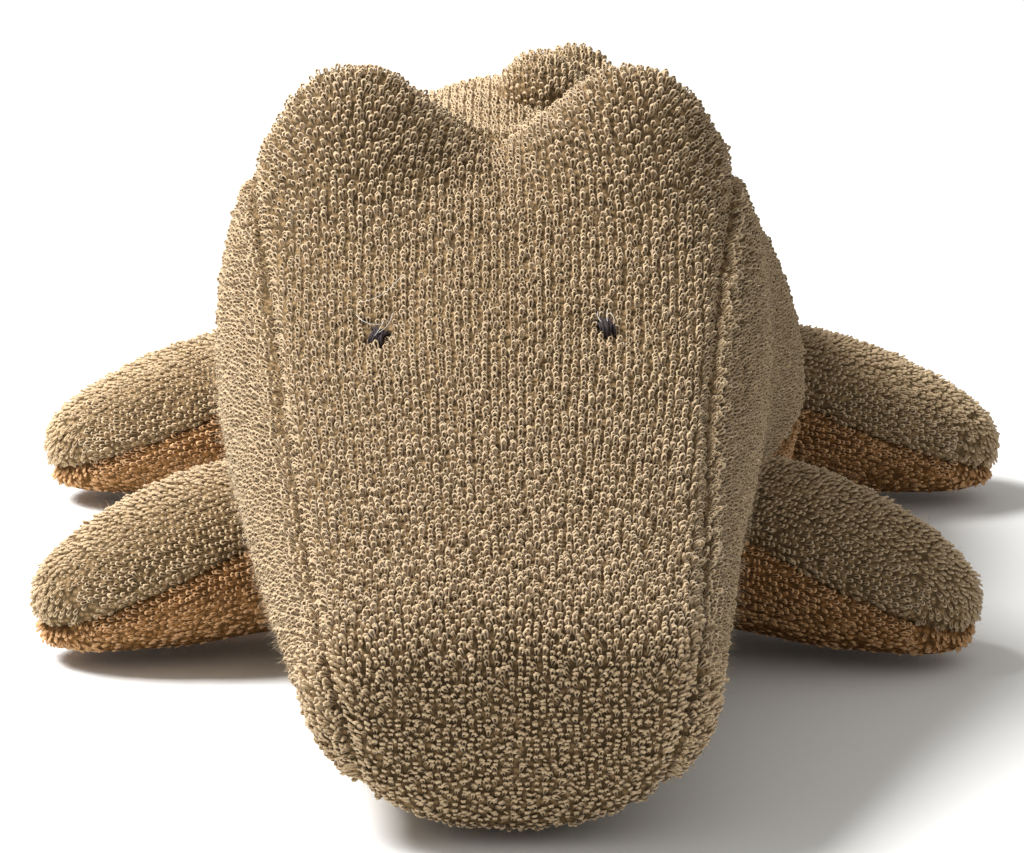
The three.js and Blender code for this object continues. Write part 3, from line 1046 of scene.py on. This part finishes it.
def repeated(name, shape, places, frames):
    """Many copies of a shape as one mesh, each at its place and turned and scaled by its frame"""
    points, faces = shape
    moved = np.einsum("nij,vj->nvi", frames, points) + places[:, None, :]
    moved[:, :, 2] = np.maximum(moved[:, :, 2], 0)
    corners = faces[None] + (np.arange(len(places)) * len(points))[:, None, None]
    mesh = bpy.data.meshes.new(name)
    mesh.vertices.add(len(places) * len(points))
    mesh.vertices.foreach_set("co", moved.astype(np.float32).ravel())
    mesh.loops.add(corners.size)
    mesh.loops.foreach_set("vertex_index", corners.astype(np.int32).ravel())
    mesh.polygons.add(len(places) * len(faces))
    starts = np.arange(0, corners.size, faces.shape[1], dtype=np.int32)
    mesh.polygons.foreach_set("loop_start", starts)
    mesh.update(calc_edges=True)
    mesh.shade_smooth()
    return mesh


def shade_loops(mesh, shades):
    """Gives each loop its shade of yarn"""
    layer = mesh.attributes.new("yarn_shade", "FLOAT", "POINT")
    size = len(mesh.vertices) // len(shades)
    layer.data.foreach_set("value", np.repeat(shades, size).astype(np.float32))


def unwrap_loops(mesh, count):
    """Gives each loop a square of the map, with a tile for each of its faces"""
    sections = len(LOOP_TURNS)
    tiles = [(index % sections, index // sections) for index in range(sections * LOOP_SIDES)]
    low, high = TILE_MARGIN, 1 - TILE_MARGIN
    corner = np.array([(low, low), (high, low), (high, high), (low, high)])
    columns = math.ceil(math.sqrt(count))
    cells = np.stack(np.divmod(np.arange(count), columns), axis=1)[:, None, None, :]
    spots = (np.array(tiles)[None, :, None, :] + corner) / np.array([sections, LOOP_SIDES])
    layer = mesh.uv_layers.new(name="OFBake")
    layer.data.foreach_set("uv", ((cells + spots) / columns).astype(np.float32).ravel())


# The loops stand closer over the nose, and turn every way: their pitch and row pitch there, as shares,
# the stretch over which the pitch widens, and how much they turn
NOSE_PITCH_SHARE = 0.84
NOSE_ROW_SHARE = 0.72
NOSE_RUFFLE = 0.42
NOSE_Y_RANGE = (-158 * MM, -110 * MM)

# The rows stand closest on the head: where each stretch of rows ends, and its row pitch as a share
ROW_STRETCHES = ((-52 * MM, 0.8), (-12 * MM, 1))
REAR_ROW_SHARE = 1.55

# How far from a face seam the loops are combed away from it, and how much on each side of it
SEAM_COMB_REACH = 3.2 * MM
CHEEK_SIDE_COMB = 0.6
FACE_SIDE_COMB = 0.2

# The pile on the legs and on the humps is finer than on the body
LEG_FINENESS = 0.86
HUMP_FINENESS = 0.95

# Fabric whose normal points down by more than this lies on the floor, and has only every second row
FLOOR_FACING = -0.75


def comb_from_seams(place, along):
    """The way a loop of the trunk leans, turned off a face seam that is near"""
    straight = laid_straight(place)
    for seam in FACE_SEAMS.values():
        if seam.reaches(straight):
            away = seam.distance(straight)
            share = CHEEK_SIDE_COMB if away > 0 else FACE_SIDE_COMB
            near = share * math.exp(-((away / SEAM_COMB_REACH) ** 2))
            along = along.lerp(seam.normal * math.copysign(1, away), near)
    return along


class Pile:
    """Collects the loops of one form, panel by panel"""

    def __init__(self, form, names, settings, fineness=1.0):
        self.tree = form_tree(form)
        self.panels = [names[face.material_index] for face in form.polygons]
        self.pitch = settings.pitch * fineness
        self.row_pitch = settings.row_pitch * fineness
        self.found = defaultdict(list)

    def knit(self, rows, row_pitch, rng, skip, sparse=(), seams=(), comb=lambda place, along: along):
        """Adds the loops of the rows, but only every second row on sparse panels and over the floor"""
        for number, row in enumerate(rows):
            pitch = self.pitch * np.interp(row.hub.y, NOSE_Y_RANGE, (NOSE_PITCH_SHARE, 1))
            places = row_places(self.tree, row, pitch, row_pitch, rng)
            for seam in seams:
                places += seam_places(self.tree, row, seam, rng)
            for place, normal, face in places:
                panel = self.panels[face]
                thin = panel in sparse or normal.z < FLOOR_FACING
                if not skip(place) and not (number % 2 and thin):
                    self.found[panel].append((place, normal, comb(place, row.along)))


def patchiness(places):
    """A slow change of shade over the fabric, from worn and flattened places"""
    total = sum(np.sin(places @ np.array(wave[:3]) + wave[3]) for wave in PATCH_WAVES)
    return total / len(PATCH_WAVES)


def columns(found, picked):
    """Places, normals and leans of the picked loops, each as an array"""
    return (np.array(column) for column in zip(*(found[index] for index in picked)))


def make_loops(name, colour, found, settings, rng, fineness):
    """Pieces of pile for one panel, each under the most loops that a piece may hold"""
    shape = loop_shape(settings)
    found.sort(key=lambda item: item[0].y)
    count = math.ceil(len(found) / settings.loops_per_piece)
    pieces = []
    for number, part in enumerate(np.array_split(np.arange(len(found)), count), start=1):
        places, normals, alongs = columns(found, part)
        frames = fineness * loop_frames(places, normals, alongs, settings, rng)
        shades = 0.5 + SHADE_SPREAD * rng.normal(0, 1, len(part)) + PATCH_SPREAD * patchiness(places)
        mesh = repeated(name, shape, places - normals * settings.loop_sink, frames)
        shade_loops(mesh, shades)
        unwrap_loops(mesh, len(part))
        piece = link(f"{name}_loops_{number}", mesh)
        dress(piece, colour + "_yarn", SLOTS[colour])
        pieces.append(piece)
    return pieces


def cover(name, colour, found, settings, rng, fineness=1.0):
    """All pieces of pile on one panel"""
    loops = make_loops(name, colour, found, settings, rng, fineness)
    return [*loops, make_fuzz(name, colour, found, settings, rng)]


# Stray fibres for each loop, more where the fabric is worn
FIBRES_PER_LOOP = defaultdict(lambda: 0.5, left_cheek_panel=2, right_cheek_panel=2, back_panel=0.8)

# How far the fibres stray from their loop, in loop pitches, and how much they lean off the fabric's normal
FIBRE_PLACE_SPREAD = 0.4
FIBRE_LEAN_SPREAD = 0.45

# A way that lies closer to X than this takes Y as its reference
SIDEWAYS_SHARE = 0.7


def make_fuzz(name, colour, found, settings, rng):
    """The stray fibres of one panel"""
    count = math.ceil(len(found) * FIBRES_PER_LOOP[name])
    picked = rng.integers(0, len(found), count)
    places, normals, _ = columns(found, picked)
    places = places + rng.normal(0, FIBRE_PLACE_SPREAD, (count, 3)) * settings.pitch
    lengths = drawn(rng, FIBRE_LENGTH_DRAW, count)[:, None]
    ways = normals + rng.normal(0, FIBRE_LEAN_SPREAD, (count, 3))
    across = np.cross(ways, np.where(abs(ways[:, :1]) > SIDEWAYS_SHARE, BACK, LEFT))
    across /= np.linalg.norm(across, axis=1, keepdims=True)
    over = np.cross(ways, across) / np.linalg.norm(ways, axis=1, keepdims=True)
    frames = np.stack([across, over, ways * lengths], axis=2)
    piece = link(f"{name}_fuzz", repeated(name + "_fuzz", fibre_shape(settings), places, frames))
    dress(piece, colour + "_fuzz", SLOTS[colour])
    return piece


# Materials


def new_material(name):
    """The nodes and links of a new material"""
    material = bpy.data.materials.new(name)
    material.use_nodes = True
    return material.node_tree.nodes, material.node_tree.links


def soft_surface(nodes, roughness, sheen):
    shader = nodes["Principled BSDF"]
    shader.inputs["Roughness"].default_value = roughness
    shader.inputs["Specular IOR Level"].default_value = 0.25
    shader.inputs["Sheen Weight"].default_value = sheen
    shader.inputs["Sheen Roughness"].default_value = 0.45
    return shader


def noise_node(nodes, links, scale, detail):
    place = nodes.new("ShaderNodeTexCoord")
    noise = nodes.new("ShaderNodeTexNoise")
    noise.inputs["Scale"].default_value = scale
    noise.inputs["Detail"].default_value = detail
    links.new(place.outputs["Object"], noise.inputs["Vector"])
    return noise


def colour_by(nodes, links, value, dark, light, shader):
    """Colours a surface between two shades by a value, and gives the ramp that does it"""
    ramp = nodes.new("ShaderNodeValToRGB")
    ramp.color_ramp.elements[0].color = (*dark, 1)
    ramp.color_ramp.elements[1].color = (*light, 1)
    links.new(value, ramp.inputs["Fac"])
    links.new(ramp.outputs["Color"], shader.inputs["Base Color"])
    return ramp.color_ramp


def bump_node(nodes, links, height, strength, distance, shader):
    bump = nodes.new("ShaderNodeBump")
    bump.inputs["Strength"].default_value = strength
    bump.inputs["Distance"].default_value = distance
    links.new(height, bump.inputs["Height"])
    links.new(bump.outputs["Normal"], shader.inputs["Normal"])


# How much the hairs of the yarn change its shade
HAIR_SHADE_SPREAD = 0.5


def yarn_material(name, dark, light):
    """Soft cotton yarn whose shade differs from loop to loop and along its hairs"""
    nodes, links = new_material(name)
    shader = soft_surface(nodes, roughness=0.95, sheen=0.28)
    shade = nodes.new("ShaderNodeAttribute")
    shade.attribute_name = "yarn_shade"
    hairs = noise_node(nodes, links, scale=2600, detail=3)
    mixed = nodes.new("ShaderNodeMath")
    mixed.operation = "MULTIPLY_ADD"
    mixed.inputs[1].default_value = HAIR_SHADE_SPREAD
    links.new(hairs.outputs["Fac"], mixed.inputs[0])
    shifted = nodes.new("ShaderNodeMath")
    shifted.operation = "SUBTRACT"
    shifted.inputs[1].default_value = HAIR_SHADE_SPREAD / 2
    links.new(shade.outputs["Fac"], shifted.inputs[0])
    links.new(shifted.outputs["Value"], mixed.inputs[2])
    colour_by(nodes, links, mixed.outputs["Value"], dark, light, shader)
    bump_node(nodes, links, hairs.outputs["Fac"], strength=0.4, distance=0.05 * MM, shader=shader)


# The ground is painted as the shade between the loops, darker and browner than the yarn: its tint, and the
# shares of the yarn's dark colour in the painted light on its bumps and in the painted shadow between them
GROUND_TINT = (1, 0.92, 0.8)
GROUND_PAINTED_LIGHT_SHARE = 0.66
GROUND_SHADOW_SHARE = 0.2

# The knitted bumps of the ground, painted into its colour only, and where their painted light ends and their
# painted shadow starts on the way out from their middles
GROUND_BUMPS_PER_METRE = 1150
GROUND_PAINTED_LIGHT_END = 0.12
GROUND_SHADOW_START = 0.62


def shaded_ground_material(name, dark):
    """The knitted ground between the loops, painted as the shade of the pile, with small bumps of painted
    light and shadow
    """
    nodes, links = new_material(name)
    shader = soft_surface(nodes, roughness=1.0, sheen=0.0)
    shader.inputs["Specular IOR Level"].default_value = 0
    place = nodes.new("ShaderNodeTexCoord")
    bumps = nodes.new("ShaderNodeTexVoronoi")
    bumps.inputs["Scale"].default_value = GROUND_BUMPS_PER_METRE
    links.new(place.outputs["Object"], bumps.inputs["Vector"])
    # Painted light for the middles of the bumps and painted shadow for their edges, as shares of the dark
    # yarn colour
    top, shadow = (
        tuple(share * tint * value for tint, value in zip(GROUND_TINT, dark))
        for share in (GROUND_PAINTED_LIGHT_SHARE, GROUND_SHADOW_SHARE)
    )
    ramp = colour_by(nodes, links, bumps.outputs["Distance"], top, shadow, shader)
    ramp.elements[0].position = GROUND_PAINTED_LIGHT_END
    ramp.elements[1].position = GROUND_SHADOW_START


def fibre_material(name, colour, roughness, sheen):
    """Single stray fibres, each too thin to show more than one shade"""
    nodes, _ = new_material(name)
    shader = soft_surface(nodes, roughness, sheen)
    shader.inputs["Base Color"].default_value = (*colour, 1)


LINT_COLOUR = (0.74, 0.71, 0.66)
FILLING_SHADES = ((0.62, 0.6, 0.56), (0.9, 0.89, 0.86))
THREAD_SHADES = ((0.01, 0.007, 0.007), (0.06, 0.043, 0.045))
FLOOR_SHADES = ((0.86, 0.86, 0.85), (0.9, 0.9, 0.89))


def filling_material():
    """Loose white polyester fibre"""
    nodes, links = new_material("stuffing_fibre")
    shader = soft_surface(nodes, roughness=1.0, sheen=0.5)
    tangle = noise_node(nodes, links, scale=420, detail=8)
    colour_by(nodes, links, tangle.outputs["Fac"], *FILLING_SHADES, shader)
    bump_node(nodes, links, tangle.outputs["Fac"], strength=0.8, distance=0.8 * MM, shader=shader)


def thread_material():
    """Dark matte sewing thread of two twisted plies"""
    nodes, links = new_material("stitched_thread")
    shader = soft_surface(nodes, roughness=0.8, sheen=0.0)
    plies = noise_node(nodes, links, scale=3000, detail=2)
    colour_by(nodes, links, plies.outputs["Fac"], *THREAD_SHADES, shader)
    bump_node(nodes, links, plies.outputs["Fac"], strength=0.5, distance=0.05 * MM, shader=shader)


def floor_material():
    """Plain pale floor with a faint mottle"""
    nodes, links = new_material("pale_floor")
    shader = soft_surface(nodes, roughness=0.7, sheen=0.0)
    mottle = noise_node(nodes, links, scale=3, detail=2)
    colour_by(nodes, links, mottle.outputs["Fac"], *FLOOR_SHADES, shader)


# Operators


class CROCODILE_OT_materials(bpy.types.Operator):
    """Make the yarn, ground, filling, thread and floor materials"""

    bl_idname = "crocodile.materials"
    bl_label = "Materials"

    def execute(self, context):
        pile = context.scene.crocodile_pile
        yarn_material("khaki_yarn", pile.khaki_dark, pile.khaki_light)
        yarn_material("orange_yarn", pile.orange_dark, pile.orange_light)
        shaded_ground_material("khaki_ground", pile.khaki_dark)
        shaded_ground_material("orange_ground", pile.orange_dark)
        fibre_material("khaki_fuzz", pile.khaki_light, roughness=1.0, sheen=0.2)
        fibre_material("orange_fuzz", pile.orange_light, roughness=1.0, sheen=0.2)
        fibre_material("pale_lint", LINT_COLOUR, roughness=0.9, sheen=0.3)
        filling_material()
        thread_material()
        floor_material()
        return {"FINISHED"}


class CROCODILE_OT_trunk(bpy.types.Operator):
    """Sew head, body and tail as one stuffed form and cut it into its panels"""

    bl_idname = "crocodile.trunk"
    bl_label = "Head, body and tail"

    def execute(self, context):
        settings = context.scene.crocodile_form
        rows = drawn_in(smoothed(trunk_rows(), settings.cloth_face), settings.inset)
        start = mesh_from(loft(rows, TRUNK_SIDES, brow_rise), "trunk_start")
        form = stuffed(start, hold_near(TRUNK_SEAMS, settings), settings)
        form.name = "trunk_form"
        names = list(TRUNK_PANELS)
        cut_along(form, TRUNK_SEAMS, names, trunk_panel, settings)
        lay_askew(form)
        dimple_eyes(form)
        for name, colour in TRUNK_PANELS.items():
            carry_trunk(make_panel(form, names, name, colour, settings), name)
        make_trunk_stuffing(form, settings)
        return {"FINISHED"}


def make_trunk_stuffing(form, settings):
    """The fillings of head, body and tail, cut apart where the stretches meet"""
    cuts = {
        "head_filling": [(BACK * NECK_SEAM_Y, BACK)],
        "body_filling": [(BACK * NECK_SEAM_Y, -BACK), (BACK * TAIL_JOIN_Y, BACK)],
        "tail_root_filling": [(BACK * TAIL_JOIN_Y, -BACK), (BACK * TAIL_SPLIT_Y, BACK)],
        "tail_end_filling": [(BACK * TAIL_SPLIT_Y, -BACK)],
    }
    for name, keep in cuts.items():
        carry_trunk(make_stuffing(name, form, settings, keep), name)


class CROCODILE_OT_legs(bpy.types.Operator):
    """Sew and stuff the four legs"""

    bl_idname = "crocodile.legs"
    bl_label = "Legs"

    def execute(self, context):
        settings = context.scene.crocodile_form
        for name, (side, leg) in LEGS.items():
            seam = leg_seam(leg)
            rows = drawn_in(smoothed(leg_rows(leg["reach"]), settings.cloth_face / 2), settings.inset)
            start = mesh_from(loft(rows, LEG_SIDES), name)
            form = stuffed(start, hold_near([seam], settings), settings)
            form.name = name + "_form"
            names = [f"{name}_upper", f"{name}_under"]
            cut_along(form, [seam], names, lambda p: names[0 if seam.distance(p) > 0 else 1], settings)
            form.transform(leg_matrix(side, leg))
            for panel_name, colour in zip(names, ("khaki", "orange")):
                carry_leg(make_panel(form, names, panel_name, colour, settings), name)
            carry_leg(make_stuffing(f"{name}_filling", form, settings), name)
        return {"FINISHED"}


def leg_seam(leg):
    """The seam round a leg, which falls from its root to its tip"""
    normal = Vector((0, LEG_SEAM_ROOT_HEIGHT - LEG_SEAM_TIP_HEIGHT, leg["reach"]))
    return Seam(UP * LEG_SEAM_ROOT_HEIGHT, normal, lambda p: True)


class CROCODILE_OT_humps(bpy.types.Operator):
    """Make the padded humps along the spine"""

    bl_idname = "crocodile.humps"
    bl_label = "Spine humps"

    def execute(self, context):
        settings = context.scene.crocodile_form
        trunk = form_tree(bpy.data.meshes["trunk_form"])
        for number, (y, lean, size, body) in enumerate(HUMPS, start=1):
            name = f"spine_hump_{number}"
            top, _ = top_of(trunk, lean * HUMP_HALF_WIDTH, y)
            bm = bmesh.new()
            bmesh.ops.create_uvsphere(bm, u_segments=HUMP_SEGMENTS, v_segments=HUMP_RINGS, radius=1)
            half = Vector((HUMP_HALF_WIDTH, HUMP_HALF_LENGTH, HUMP_RISE)) * size
            inset = Vector((1, 1, 1)) * settings.inset * HUMP_INSET_SHARE
            bmesh.ops.scale(bm, verts=bm.verts, vec=half - inset)
            bmesh.ops.translate(bm, verts=bm.verts, vec=top)
            form = mesh_from(bm, name + "_form")
            hump = link(name + "_ground", form.copy())
            hump.data.shade_smooth()
            dress(hump, "khaki_ground", "khaki_terry")
            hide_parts(name)
            carry_hump(hump, body)
        return {"FINISHED"}


def carry_hump(piece, body):
    """Bakes a hump on the tail's root into its mesh, or rides it on its body"""
    if body == "tail_root":
        carry_trunk(piece, body)
    else:
        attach(piece, body)


class CROCODILE_OT_eyes(bpy.types.Operator):
    """Stitch the two eyes from strands of dark thread"""

    bl_idname = "crocodile.eyes"
    bl_label = "Stitched eyes"

    def execute(self, context):
        trunk = form_tree(bpy.data.meshes["trunk_form"])
        rng = np.random.default_rng(SEED)
        for name, eye_place in EYES.items():
            place, normal = top_of(trunk, *eye_place)
            turn = normal.to_track_quat("Z", "Y").to_matrix().to_4x4()
            matrix = Matrix.Translation(place) @ turn
            strands = [strand_points(number, rng) for number in range(EYE_STRANDS)]
            eye = link(name + "_stitches", tubes(name, strands, STRAND_RADIUS, STRAND_SIDES, matrix))
            dress(eye, "stitched_thread", "eye_thread")
            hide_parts(name)
            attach(eye, "head")
            fibres = [lint_points(*(Vector((*spot, 0)) * MM for spot in fibre)) for fibre in LINT[name]]
            lint = link(name + "_lint", tubes(name + "_lint", fibres, LINT_RADIUS, LINT_SIDES, matrix))
            dress(lint, "pale_lint", "filling_fibre")
            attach(lint, "head")
        return {"FINISHED"}


def strand_points(number, rng):
    """One strand that rises out of the fabric, crosses the eye and goes in again"""
    share = (number + 0.5) / EYE_STRANDS * 2 - 1
    rounding = 1 - EYE_ROUNDING * share * share
    half = EYE_HALF_HEIGHT * rounding * (1 + STRAND_LENGTH_SPREAD * rng.normal())
    lift = EYE_LIFT * rounding * (1 + STRAND_LIFT_SPREAD * rng.normal())
    twist = Matrix.Rotation(rng.normal(0, STRAND_TURN_SPREAD), 3, "Z")
    foot = Vector((share * EYE_HALF_WIDTH, STRAND_SHIFT_SPREAD * EYE_HALF_HEIGHT * rng.normal(), 0))
    turns = [math.pi * step / STRAND_STEPS for step in range(STRAND_STEPS + 1)]
    return [foot + twist @ Vector((0, -half * math.cos(turn), lift * math.sin(turn))) for turn in turns]


def lint_points(start, bend, end):
    """A curved fibre that lies on the tips of the loops"""
    shares = [step / LINT_STEPS for step in range(LINT_STEPS + 1)]
    lift = UP * LINT_HEIGHT
    return [start * (1 - t) ** 2 + bend * 2 * t * (1 - t) + end * t * t + lift for t in shares]


def tubes(name, lines, radius, sides, matrix):
    """Closed tubes of thread through lines of points"""
    bm = bmesh.new()
    for points in lines:
        rings = []
        for index, point in enumerate(points):
            way = points[min(index + 1, len(points) - 1)] - points[max(index - 1, 0)]
            verts = bmesh.ops.create_circle(bm, radius=radius, segments=sides)["verts"]
            place = Matrix.Translation(point) @ way.to_track_quat("Z", "X").to_matrix().to_4x4()
            bmesh.ops.transform(bm, verts=verts, matrix=place)
            rings.append(ring_edges(verts))
        skin(bm, rings)
    bmesh.ops.recalc_face_normals(bm, faces=bm.faces)
    bmesh.ops.transform(bm, verts=bm.verts, matrix=matrix)
    mesh = mesh_from(bm, name)
    mesh.shade_smooth()
    return mesh


# Hubs that the rows fan out from round the snout, the tip of the tail and the tip of each leg
SNOUT_HUB = Vector((0, SNOUT_Y + 17 * MM, 19 * MM))
TAIL_HUB = Vector((0, TAIL_TIP_Y - 9 * MM, 8.5 * MM))
LEG_HUB_DEPTH = 10 * MM
LEG_HUB_HEIGHT = 11 * MM

# How deep in another form a loop may stand: on the trunk, on a leg and on a hump
TRUNK_LOOP_SPARE = 0.5 * MM
LEG_LOOP_SPARE = 0.8 * MM
HUMP_LOOP_SPARE = 0.3 * MM

# Panels that lie on the floor or are hidden, and have only every second row
SPARSE_PANELS = ("jaw_panel", "belly_panel", "tail_root_under", "tail_end_under")


class CROCODILE_OT_pile(bpy.types.Operator):
    """Knit the loops over every panel"""

    bl_idname = "crocodile.pile"
    bl_label = "Terry loops"

    def execute(self, context):
        settings = context.scene.crocodile_pile
        self.knit_trunk(settings)
        for name in LEGS:
            self.knit_leg(name, settings)
        self.knit_humps(settings)
        return {"FINISHED"}

    def knit_trunk(self, settings):
        """Straight rows from the snout to the tail's tip, and fans of rows round both ends"""
        rng = np.random.default_rng(SEED)
        names = list(TRUNK_PANELS)
        pile = Pile(bpy.data.meshes["trunk_form"], names, settings)
        rows = trunk_rows()
        legs = [form_tree(bpy.data.meshes[name + "_form"]) for name in LEGS]
        humps = [form_tree(bpy.data.meshes[f"spine_hump_{n + 1}_form"]) for n in range(len(HUMPS))]

        def skip(place):
            covers = legs + humps if place.z < LEG_REACH_HEIGHT else humps
            if any(is_inside(tree, place, TRUNK_LOOP_SPARE) for tree in covers):
                return True
            near_eye = any((place.xy - eye).length < EYE_CLEARING for eye in EYES.values())
            return near_eye and place.z > BODY_SEAM_HEIGHT

        def ruffled(place, along):
            nose = np.interp(place.y, NOSE_Y_RANGE, (1, 0))
            return comb_from_seams(place, along) + LEFT * rng.normal(0, NOSE_RUFFLE) * nose * nose

        face_seams = tuple(FACE_SEAMS.values())
        start = SNOUT_HUB.y
        for end, share in (*ROW_STRETCHES, (TAIL_HUB.y, REAR_ROW_SHARE)):
            pitch = pile.row_pitch * share
            stretch = straight_rows(rows, start + pitch / 2, end, pitch)
            seams = face_seams if end < NECK_SEAM_Y else ()
            pile.knit(stretch, pitch, rng, skip, SPARSE_PANELS, seams, ruffled)
            start = end
        pitch = pile.row_pitch * NOSE_ROW_SHARE
        nose = fan_rows(pile.tree, SNOUT_HUB, -BACK, 0, math.pi, pitch)
        pile.knit(nose, pitch, rng, skip, (), face_seams, ruffled)
        tip = fan_rows(pile.tree, TAIL_HUB, BACK, 0, math.pi, pile.row_pitch)
        pile.knit(tip, pile.row_pitch, rng, skip)
        for name, colour in TRUNK_PANELS.items():
            for piece in cover(name, colour, pile.found[name], settings, rng):
                carry_trunk(piece, name)

    def knit_leg(self, name, settings):
        """Straight rows along a leg, and a fan of rows round its tip"""
        rng = np.random.default_rng(SEED + len(name))
        side, leg = LEGS[name]
        matrix = leg_matrix(side, leg)
        names = [f"{name}_upper", f"{name}_under"]
        pile = Pile(bpy.data.meshes[name + "_form"], names, settings, LEG_FINENESS)
        trunk = form_tree(bpy.data.meshes["trunk_form"])
        rows = leg_rows(leg["reach"])
        pitch = pile.row_pitch
        hub = Vector((0, leg["reach"] - LEG_HUB_DEPTH, LEG_HUB_HEIGHT))
        straight = [row.placed(matrix) for row in straight_rows(rows, 0, hub.y, pitch)]
        forward = matrix.to_3x3() @ BACK
        across = matrix.to_3x3() @ LEFT
        fan = fan_rows(pile.tree, matrix @ hub, forward, 0, math.pi, pitch, side=across)
        pile.knit(straight + fan, pitch, rng, lambda place: is_inside(trunk, place, LEG_LOOP_SPARE))
        for panel, colour in zip(names, ("khaki", "orange")):
            for piece in cover(panel, colour, pile.found[panel], settings, rng, LEG_FINENESS):
                carry_leg(piece, name)

    def knit_humps(self, settings):
        """A fan of rows over each hump, from its front to its back"""
        rng = np.random.default_rng(SEED + 1)
        trunk = form_tree(bpy.data.meshes["trunk_form"])
        for number, (*_, body) in enumerate(HUMPS, start=1):
            name = f"spine_hump_{number}"
            form = bpy.data.meshes[name + "_form"]
            pile = Pile(form, [name], settings, HUMP_FINENESS)
            hub = sum((vert.co for vert in form.vertices), Vector()) / len(form.vertices)
            fan = fan_rows(pile.tree, hub, BACK, -math.pi / 2, math.pi / 2, pile.row_pitch)
            pile.knit(fan, pile.row_pitch, rng, lambda place: is_inside(trunk, place, HUMP_LOOP_SPARE))
            for piece in cover(name, "khaki", pile.found[name], settings, rng, HUMP_FINENESS):
                carry_hump(piece, body)


# Each light's place and width, and what both aim at
KEY_PLACE = (-0.48, 0.03, 0.64)
KEY_WIDTH = 0.34
FILL_PLACE = (1.2, -0.8, 0.7)
FILL_WIDTH = 1.2
LIGHT_AIM = Vector((0, -0.03, 0.03))
SKY_COLOUR = (1.0, 0.985, 0.96)

# The floor reaches this far, and is split into this many faces each way
FLOOR_REACH = 4
FLOOR_FACES = 8


class CROCODILE_OT_stage(bpy.types.Operator):
    """Set the floor, the lights and the camera"""

    bl_idname = "crocodile.stage"
    bl_label = "Stage"

    def execute(self, context):
        settings = context.scene.crocodile_stage
        self.make_floor()
        self.make_light("key", KEY_PLACE, KEY_WIDTH, settings.key_power)
        self.make_light("fill", FILL_PLACE, FILL_WIDTH, settings.fill_power)
        self.make_sky(context.scene, settings.sky)
        self.make_camera(context.scene, settings)
        context.scene.view_settings.view_transform = "Standard"
        return {"FINISHED"}

    def make_floor(self):
        bm = bmesh.new()
        bmesh.ops.create_grid(bm, x_segments=FLOOR_FACES, y_segments=FLOOR_FACES, size=FLOOR_REACH)
        floor = link("floor", mesh_from(bm, "floor"))
        floor.data.materials.append(bpy.data.materials["pale_floor"])

    def make_light(self, name, place, size, power):
        light = bpy.data.lights.new(name, "AREA")
        light.energy = power
        light.size = size
        lamp = bpy.data.objects.new(name, light)
        lamp.location = place
        aim = LIGHT_AIM - Vector(place)
        lamp.rotation_euler = aim.to_track_quat("-Z", "Y").to_euler()
        bpy.context.scene.collection.objects.link(lamp)

    def make_sky(self, scene, strength):
        world = bpy.data.worlds.new("studio")
        world.use_nodes = True
        background = world.node_tree.nodes["Background"]
        background.inputs["Color"].default_value = (*SKY_COLOUR, 1)
        background.inputs["Strength"].default_value = strength
        scene.world = world

    def make_camera(self, scene, settings):
        data = bpy.data.cameras.new("camera")
        data.lens = settings.lens
        camera = bpy.data.objects.new("camera", data)
        camera.location = (0, -settings.camera_distance, settings.camera_height)
        camera.rotation_euler = (math.pi / 2 - settings.camera_pitch, 0, 0)
        scene.collection.objects.link(camera)
        scene.camera = camera


class CROCODILE_PT_steps(bpy.types.Panel):
    """Lists the steps in the order that makes the toy"""

    bl_idname = "CROCODILE_PT_steps"
    bl_label = "Terry crocodile"
    bl_space_type = "VIEW_3D"
    bl_region_type = "UI"
    bl_category = "Crocodile"

    def draw(self, context):
        for operator in OPERATORS:
            self.layout.operator(operator.bl_idname)


SETTINGS = {
    "crocodile_form": FormSettings,
    "crocodile_pile": PileSettings,
    "crocodile_stage": StageSettings,
}
OPERATORS = (
    CROCODILE_OT_materials,
    CROCODILE_OT_trunk,
    CROCODILE_OT_legs,
    CROCODILE_OT_humps,
    CROCODILE_OT_eyes,
    CROCODILE_OT_pile,
    CROCODILE_OT_stage,
)


def register():
    for group in SETTINGS.values():
        bpy.utils.register_class(group)
    for operator in OPERATORS:
        bpy.utils.register_class(operator)
    bpy.utils.register_class(CROCODILE_PT_steps)
    for name, group in SETTINGS.items():
        setattr(bpy.types.Scene, name, PointerProperty(type=group))


def unregister():
    for name in SETTINGS:
        delattr(bpy.types.Scene, name)
    for group in (CROCODILE_PT_steps, *reversed(OPERATORS), *SETTINGS.values()):
        bpy.utils.unregister_class(group)


def main():
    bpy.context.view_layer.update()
    register()
    bpy.ops.crocodile.materials()
    bpy.ops.crocodile.trunk()
    bpy.ops.crocodile.legs()
    bpy.ops.crocodile.humps()
    bpy.ops.crocodile.eyes()
    bpy.ops.crocodile.pile()
    bpy.ops.crocodile.stage()


if __name__ == "__main__":
    main()
